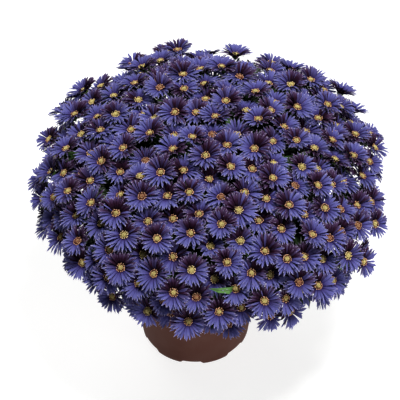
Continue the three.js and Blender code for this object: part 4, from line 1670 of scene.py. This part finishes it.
@dataclass(frozen=True)
class NurseryPot:
    """Thin tapered pot with a rim band, a flat foot and drain notches round it."""

    plastic: MouldedPolypropylene = MouldedPolypropylene()
    segments: int = 210
    foot_radius_mm: float = 56
    foot_edge_share: float = 0.99
    foot_strip_mm: float = 6
    inner_strip_mm: float = 8
    height_mm: float = 134
    slope: float = 0.115
    wall_mm: float = 1.4
    floor_mm: float = 1.5
    rim_radius_mm: float = 75
    band_mm: float = 15
    draft_mm: float = 1
    notches: int = 7
    notch_height_mm: float = 3
    notch_half_degrees: float = 10.75
    notch_edge_degrees: float = 2.5
    front_notch_degrees: float = -94
    notch_digits: int = 2
    channel_start_mm: float = 23.5
    channel_slack_mm: float = 1
    floor_slack_mm: float = 0.5
    bevel_mm: float = 0.45
    bevel_segments: int = 2
    bevel_degrees: float = 40
    crease_degrees: float = 35

    def make(self) -> bpy.types.Object:
        """Models the pot and dresses it.

        Returns:
            The piece.
        """
        piece = self.model()
        apply_modifier(
            piece, "BEVEL", width=self.bevel_mm * MM, segments=self.bevel_segments,
            limit_method="ANGLE", angle_limit=math.radians(self.bevel_degrees),
        )
        smooth(piece, self.crease_degrees)
        piece.data.materials.append(self.plastic.make())
        return piece

    def wall_radius(self, height: float) -> float:
        """Returns the outer radius of the wall at a height, in millimetres."""
        return self.foot_radius_mm + self.slope * height

    def profile(self) -> list[tuple[float, float]]:
        """Works out the section of the pot.

        Returns:
            Radius and height from the foot, over the rim, to the edge of the floor inside.
        """
        band = self.height_mm - self.band_mm
        inner = self.rim_radius_mm - self.wall_mm
        return [
            (self.wall_radius(0), 0),
            (self.wall_radius(self.foot_strip_mm), self.foot_strip_mm),
            (self.wall_radius(band / 2), band / 2),
            (self.wall_radius(band), band),
            (self.rim_radius_mm - self.draft_mm, band),
            (self.rim_radius_mm, self.height_mm),
            (inner, self.height_mm),
            (inner - self.draft_mm, band + self.wall_mm),
            (self.wall_radius(band) - self.wall_mm, band),
            (self.wall_radius(self.inner_strip_mm) - self.wall_mm, self.inner_strip_mm),
            (self.wall_radius(self.floor_mm) - self.wall_mm, self.floor_mm),
            (self.channel_start_mm, self.floor_mm),
        ]

    def model(self) -> bpy.types.Object:
        """Models the pot by drawing a ring up the wall, over the rim and down inside.

        Returns:
            The piece, still sharp-edged.
        """
        rings = self.profile()
        foot = rings[0][0]
        deselect_all()
        bpy.ops.mesh.primitive_circle_add(vertices=self.segments, radius=foot * MM)
        piece = bpy.context.object
        piece.name = "nursery_pot"
        bpy.ops.object.mode_set(mode="EDIT")
        for (radius, height), (wider, higher) in zip(rings, rings[1:]):
            self.draw_ring(wider / radius, higher - height)
        bpy.ops.mesh.edge_face_add()
        edge = self.foot_edge_share * foot * MM
        select_where(lambda spot: spot.z < SAME_PLACE * MM and spot.xy.length > edge)
        self.draw_ring(self.channel_start_mm / foot, 0)
        bpy.ops.mesh.edge_face_add()
        bpy.ops.mesh.select_all(action="SELECT")
        bpy.ops.mesh.normals_make_consistent(inside=False)
        self.raise_notches()
        bpy.ops.object.mode_set(mode="OBJECT")
        return piece

    def draw_ring(self, scale: float, rise: float) -> None:
        """Draws the selected ring out to a new radius and height.

        Args:
            scale: the new radius as a share of the old one.
            rise: how much higher it comes, in millimetres.
        """
        bpy.ops.mesh.extrude_region_move(TRANSFORM_OT_translate={"value": (0, 0, rise * MM)})
        bpy.ops.transform.resize(value=(scale, scale, 1), center_override=(0, 0, 0))

    def notch_share(self, spot: Vector) -> float:
        """Tells how far a place on the foot or floor is raised by a drain notch.

        Args:
            spot: the place.

        Returns:
            The share of the notch's height, from 0 to 1, rounded to group like places.
        """
        on_foot = spot.z < (self.floor_mm + self.floor_slack_mm) * MM
        channel = (self.channel_start_mm + self.channel_slack_mm) * MM
        if not on_foot or spot.xy.length < channel:
            return 0.0
        period = 360 / self.notches
        turn = math.degrees(math.atan2(spot.y, spot.x)) - self.front_notch_degrees
        away = abs((turn + period / 2) % period - period / 2)
        # The notch's edge slopes over its width, half of it on each side of where it lies.
        share = (self.notch_half_degrees - away) / self.notch_edge_degrees + 1 / 2
        return round(min(max(share, 0), 1), self.notch_digits)

    def raise_notches(self) -> None:
        """Raises the foot, and the floor over it, where a drain notch crosses them."""
        mesh = bmesh.from_edit_mesh(bpy.context.edit_object.data)
        shares = {self.notch_share(vertex.co) for vertex in mesh.verts}
        for share in sorted(shares - {0.0}):
            select_where(lambda spot: self.notch_share(spot) == share)
            bpy.ops.transform.translate(value=(0, 0, share * self.notch_height_mm * MM))


@dataclass(frozen=True)
class SoilPlug:
    """The top of the soil as crumbs, on a plug that fills the pot below it."""

    mix: PottingMix = PottingMix()
    segments: int = 60
    cuts: int = 14
    top_mm: float = 119
    depth_mm: float = 20
    radius_mm: float = 67.6
    foot_share: float = 0.96
    crumb_mm: float = 2.6
    crumb_rise_mm: float = 3.2
    crumb_level: float = 0.6
    still_edge_share: float = 0.985
    crease_degrees: float = 60

    def make(self) -> bpy.types.Object:
        """Models the soil and dresses it.

        Returns:
            The piece.
        """
        piece = self.model_top()
        self.raise_crumbs(piece)
        self.draw_down()
        smooth(piece, self.crease_degrees)
        piece.data.materials.append(self.mix.make())
        return piece

    def model_top(self) -> bpy.types.Object:
        """Models the level top from a filled circle.

        Returns:
            The piece, still flat.
        """
        deselect_all()
        bpy.ops.mesh.primitive_circle_add(
            vertices=self.segments, radius=self.radius_mm * MM, fill_type="TRIFAN",
            location=(0, 0, self.top_mm * MM),
        )
        piece = bpy.context.object
        piece.name = "potting_soil"
        bpy.ops.object.transform_apply(location=True, rotation=True, scale=True)
        bpy.ops.object.mode_set(mode="EDIT")
        bpy.ops.mesh.subdivide(number_cuts=self.cuts)
        bpy.ops.object.mode_set(mode="OBJECT")
        return piece

    def raise_crumbs(self, piece: bpy.types.Object) -> None:
        """Roughens the top into crumbs, but for its edge against the pot.

        Args:
            piece: the soil.
        """
        still = self.still_edge_share * self.radius_mm * MM
        inside = [spot.index for spot in piece.data.vertices if spot.co.xy.length < still]
        group = piece.vertex_groups.new(name="crumbs")
        group.add(inside, 1.0, "ADD")
        crumbs = bpy.data.textures.new("soil_crumbs", "CLOUDS")
        crumbs.noise_scale = self.crumb_mm * MM
        apply_modifier(
            piece, "DISPLACE", texture=crumbs, texture_coords="LOCAL", direction="Z",
            strength=self.crumb_rise_mm * MM, mid_level=self.crumb_level, vertex_group=group.name,
        )

    def draw_down(self) -> None:
        """Draws the edge of the top down into a plug and closes it."""
        bpy.ops.object.mode_set(mode="EDIT")
        bpy.ops.mesh.select_all(action="DESELECT")
        bpy.ops.mesh.select_non_manifold()
        step = {"value": (0, 0, -self.depth_mm * MM)}
        bpy.ops.mesh.extrude_region_move(TRANSFORM_OT_translate=step)
        scale = (self.foot_share, self.foot_share, 1)
        bpy.ops.transform.resize(value=scale, center_override=(0, 0, 0))
        bpy.ops.mesh.edge_face_add()
        bpy.ops.mesh.select_all(action="SELECT")
        bpy.ops.mesh.normals_make_consistent(inside=False)
        bpy.ops.object.mode_set(mode="OBJECT")


# Studio


@dataclass(frozen=True)
class SoftLight:
    """A large soft lamp that looks at the middle of the plant."""

    name: str
    place: tuple[float, float, float]
    size: float
    watts: float

    def hang(self, target: Vector) -> None:
        """Hangs the lamp and turns it to the target.

        Args:
            target: the place that it looks at.
        """
        lamp = bpy.data.lights.new(self.name, "AREA")
        lamp.size = self.size
        lamp.energy = self.watts
        piece = bpy.data.objects.new(self.name, lamp)
        piece.location = self.place
        piece.rotation_euler = (target - piece.location).to_track_quat("-Z", "Y").to_euler()
        bpy.context.scene.collection.objects.link(piece)


@dataclass(frozen=True)
class Studio:
    """A pale floor, soft light from above and the camera at the photograph's viewing angle."""

    floor_colour: str = "#c0c0be"
    floor_size: float = 80.0
    floor_depth: float = 0.1
    floor_glow: float = 0.62
    floor_roughness: float = 0.9
    room_colour: str = "#ffffff"
    room_strength: float = 0.03
    target: tuple[float, float, float] = (0.0, 0.0, 0.2)
    camera_place: tuple[float, float, float] = (0.0046, -1.227, 1.505)
    camera_down_degrees: float = 47.0
    lens_mm: float = 164.5
    # The view is brightened and its dark tones deepened, as in the photograph.
    exposure: float = 0.42
    gamma: float = 0.88
    lights: tuple[SoftLight, ...] = (
        SoftLight("overhead_light", (0.3, -0.35, 1.85), 0.4, 24.5),
        SoftLight("front_fill", (1.45, -1.1, 0.35), 0.8, 6.5),
        SoftLight("back_fill", (-0.8, 1.1, 1.4), 1.0, 9),
    )

    def set_up(self) -> None:
        """Makes the floor, the lamps, the surrounding light and the camera."""
        self.lay_floor()
        for light in self.lights:
            light.hang(Vector(self.target))
        world = bpy.data.worlds.new("soft_room")
        world.use_nodes = True
        background = world.node_tree.nodes["Background"]
        background.inputs["Color"].default_value = linear(self.room_colour)
        background.inputs["Strength"].default_value = self.room_strength
        bpy.context.scene.world = world
        view = bpy.context.scene.view_settings
        view.view_transform = "Standard"
        view.exposure = self.exposure
        view.gamma = self.gamma
        self.place_camera()

    def lay_floor(self) -> None:
        """Lays the plain pale floor as a slab whose top is at height 0."""
        deselect_all()
        bpy.ops.mesh.primitive_plane_add(size=self.floor_size)
        floor = bpy.context.object
        floor.name = "studio_floor"
        bpy.ops.object.mode_set(mode="EDIT")
        step = {"value": (0, 0, -self.floor_depth)}
        bpy.ops.mesh.extrude_region_move(TRANSFORM_OT_translate=step)
        bpy.ops.mesh.select_all(action="SELECT")
        bpy.ops.mesh.normals_make_consistent(inside=False)
        bpy.ops.object.mode_set(mode="OBJECT")
        material = new_material("pale_floor")
        surface = {
            "Base Color": linear(self.floor_colour),
            "Roughness": self.floor_roughness,
            "Emission Color": linear(self.room_colour),
            "Emission Strength": self.floor_glow,
        }
        shader = add_node(material, "BsdfPrincipled", surface)
        add_node(material, "OutputMaterial", {"Surface": shader.outputs["BSDF"]})
        floor.data.materials.append(material)

    def place_camera(self) -> None:
        """Places the camera, looking down at the front of the plant."""
        camera = bpy.data.cameras.new("camera")
        camera.lens = self.lens_mm
        piece = bpy.data.objects.new("camera", camera)
        piece.location = self.camera_place
        piece.rotation_euler = (math.radians(90 - self.camera_down_degrees), 0, 0)
        bpy.context.scene.collection.objects.link(piece)
        bpy.context.scene.camera = piece


# Assembly


def seat(piece: bpy.types.Object, node: str) -> None:
    """Lets a piece ride on the plant's body in place of its solid, and reports it.

    Args:
        piece: the finished piece.
        node: the solid that it stands for.
    """
    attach(piece, BODY)
    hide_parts(node)
    LOG.info("%s: %d faces", piece.name, len(piece.data.polygons))


def main() -> None:
    """Loads the frame, builds every piece round it and reports each one."""
    logging.basicConfig(level=logging.INFO, format="%(message)s")
    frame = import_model()
    Studio().set_up()
    seat(NurseryPot().make(), "pot")
    seat(SoilPlug().make(), "soil")
    plant = Plant(frame["nodes"])
    for number, name in plant.named("blooms_").items():
        seat(plant.grow_bunch(number, name), name)
    for number, name in plant.named("stem_").items():
        seat(plant.grow_stem(number, name), name)


if __name__ == "__main__":
    main()
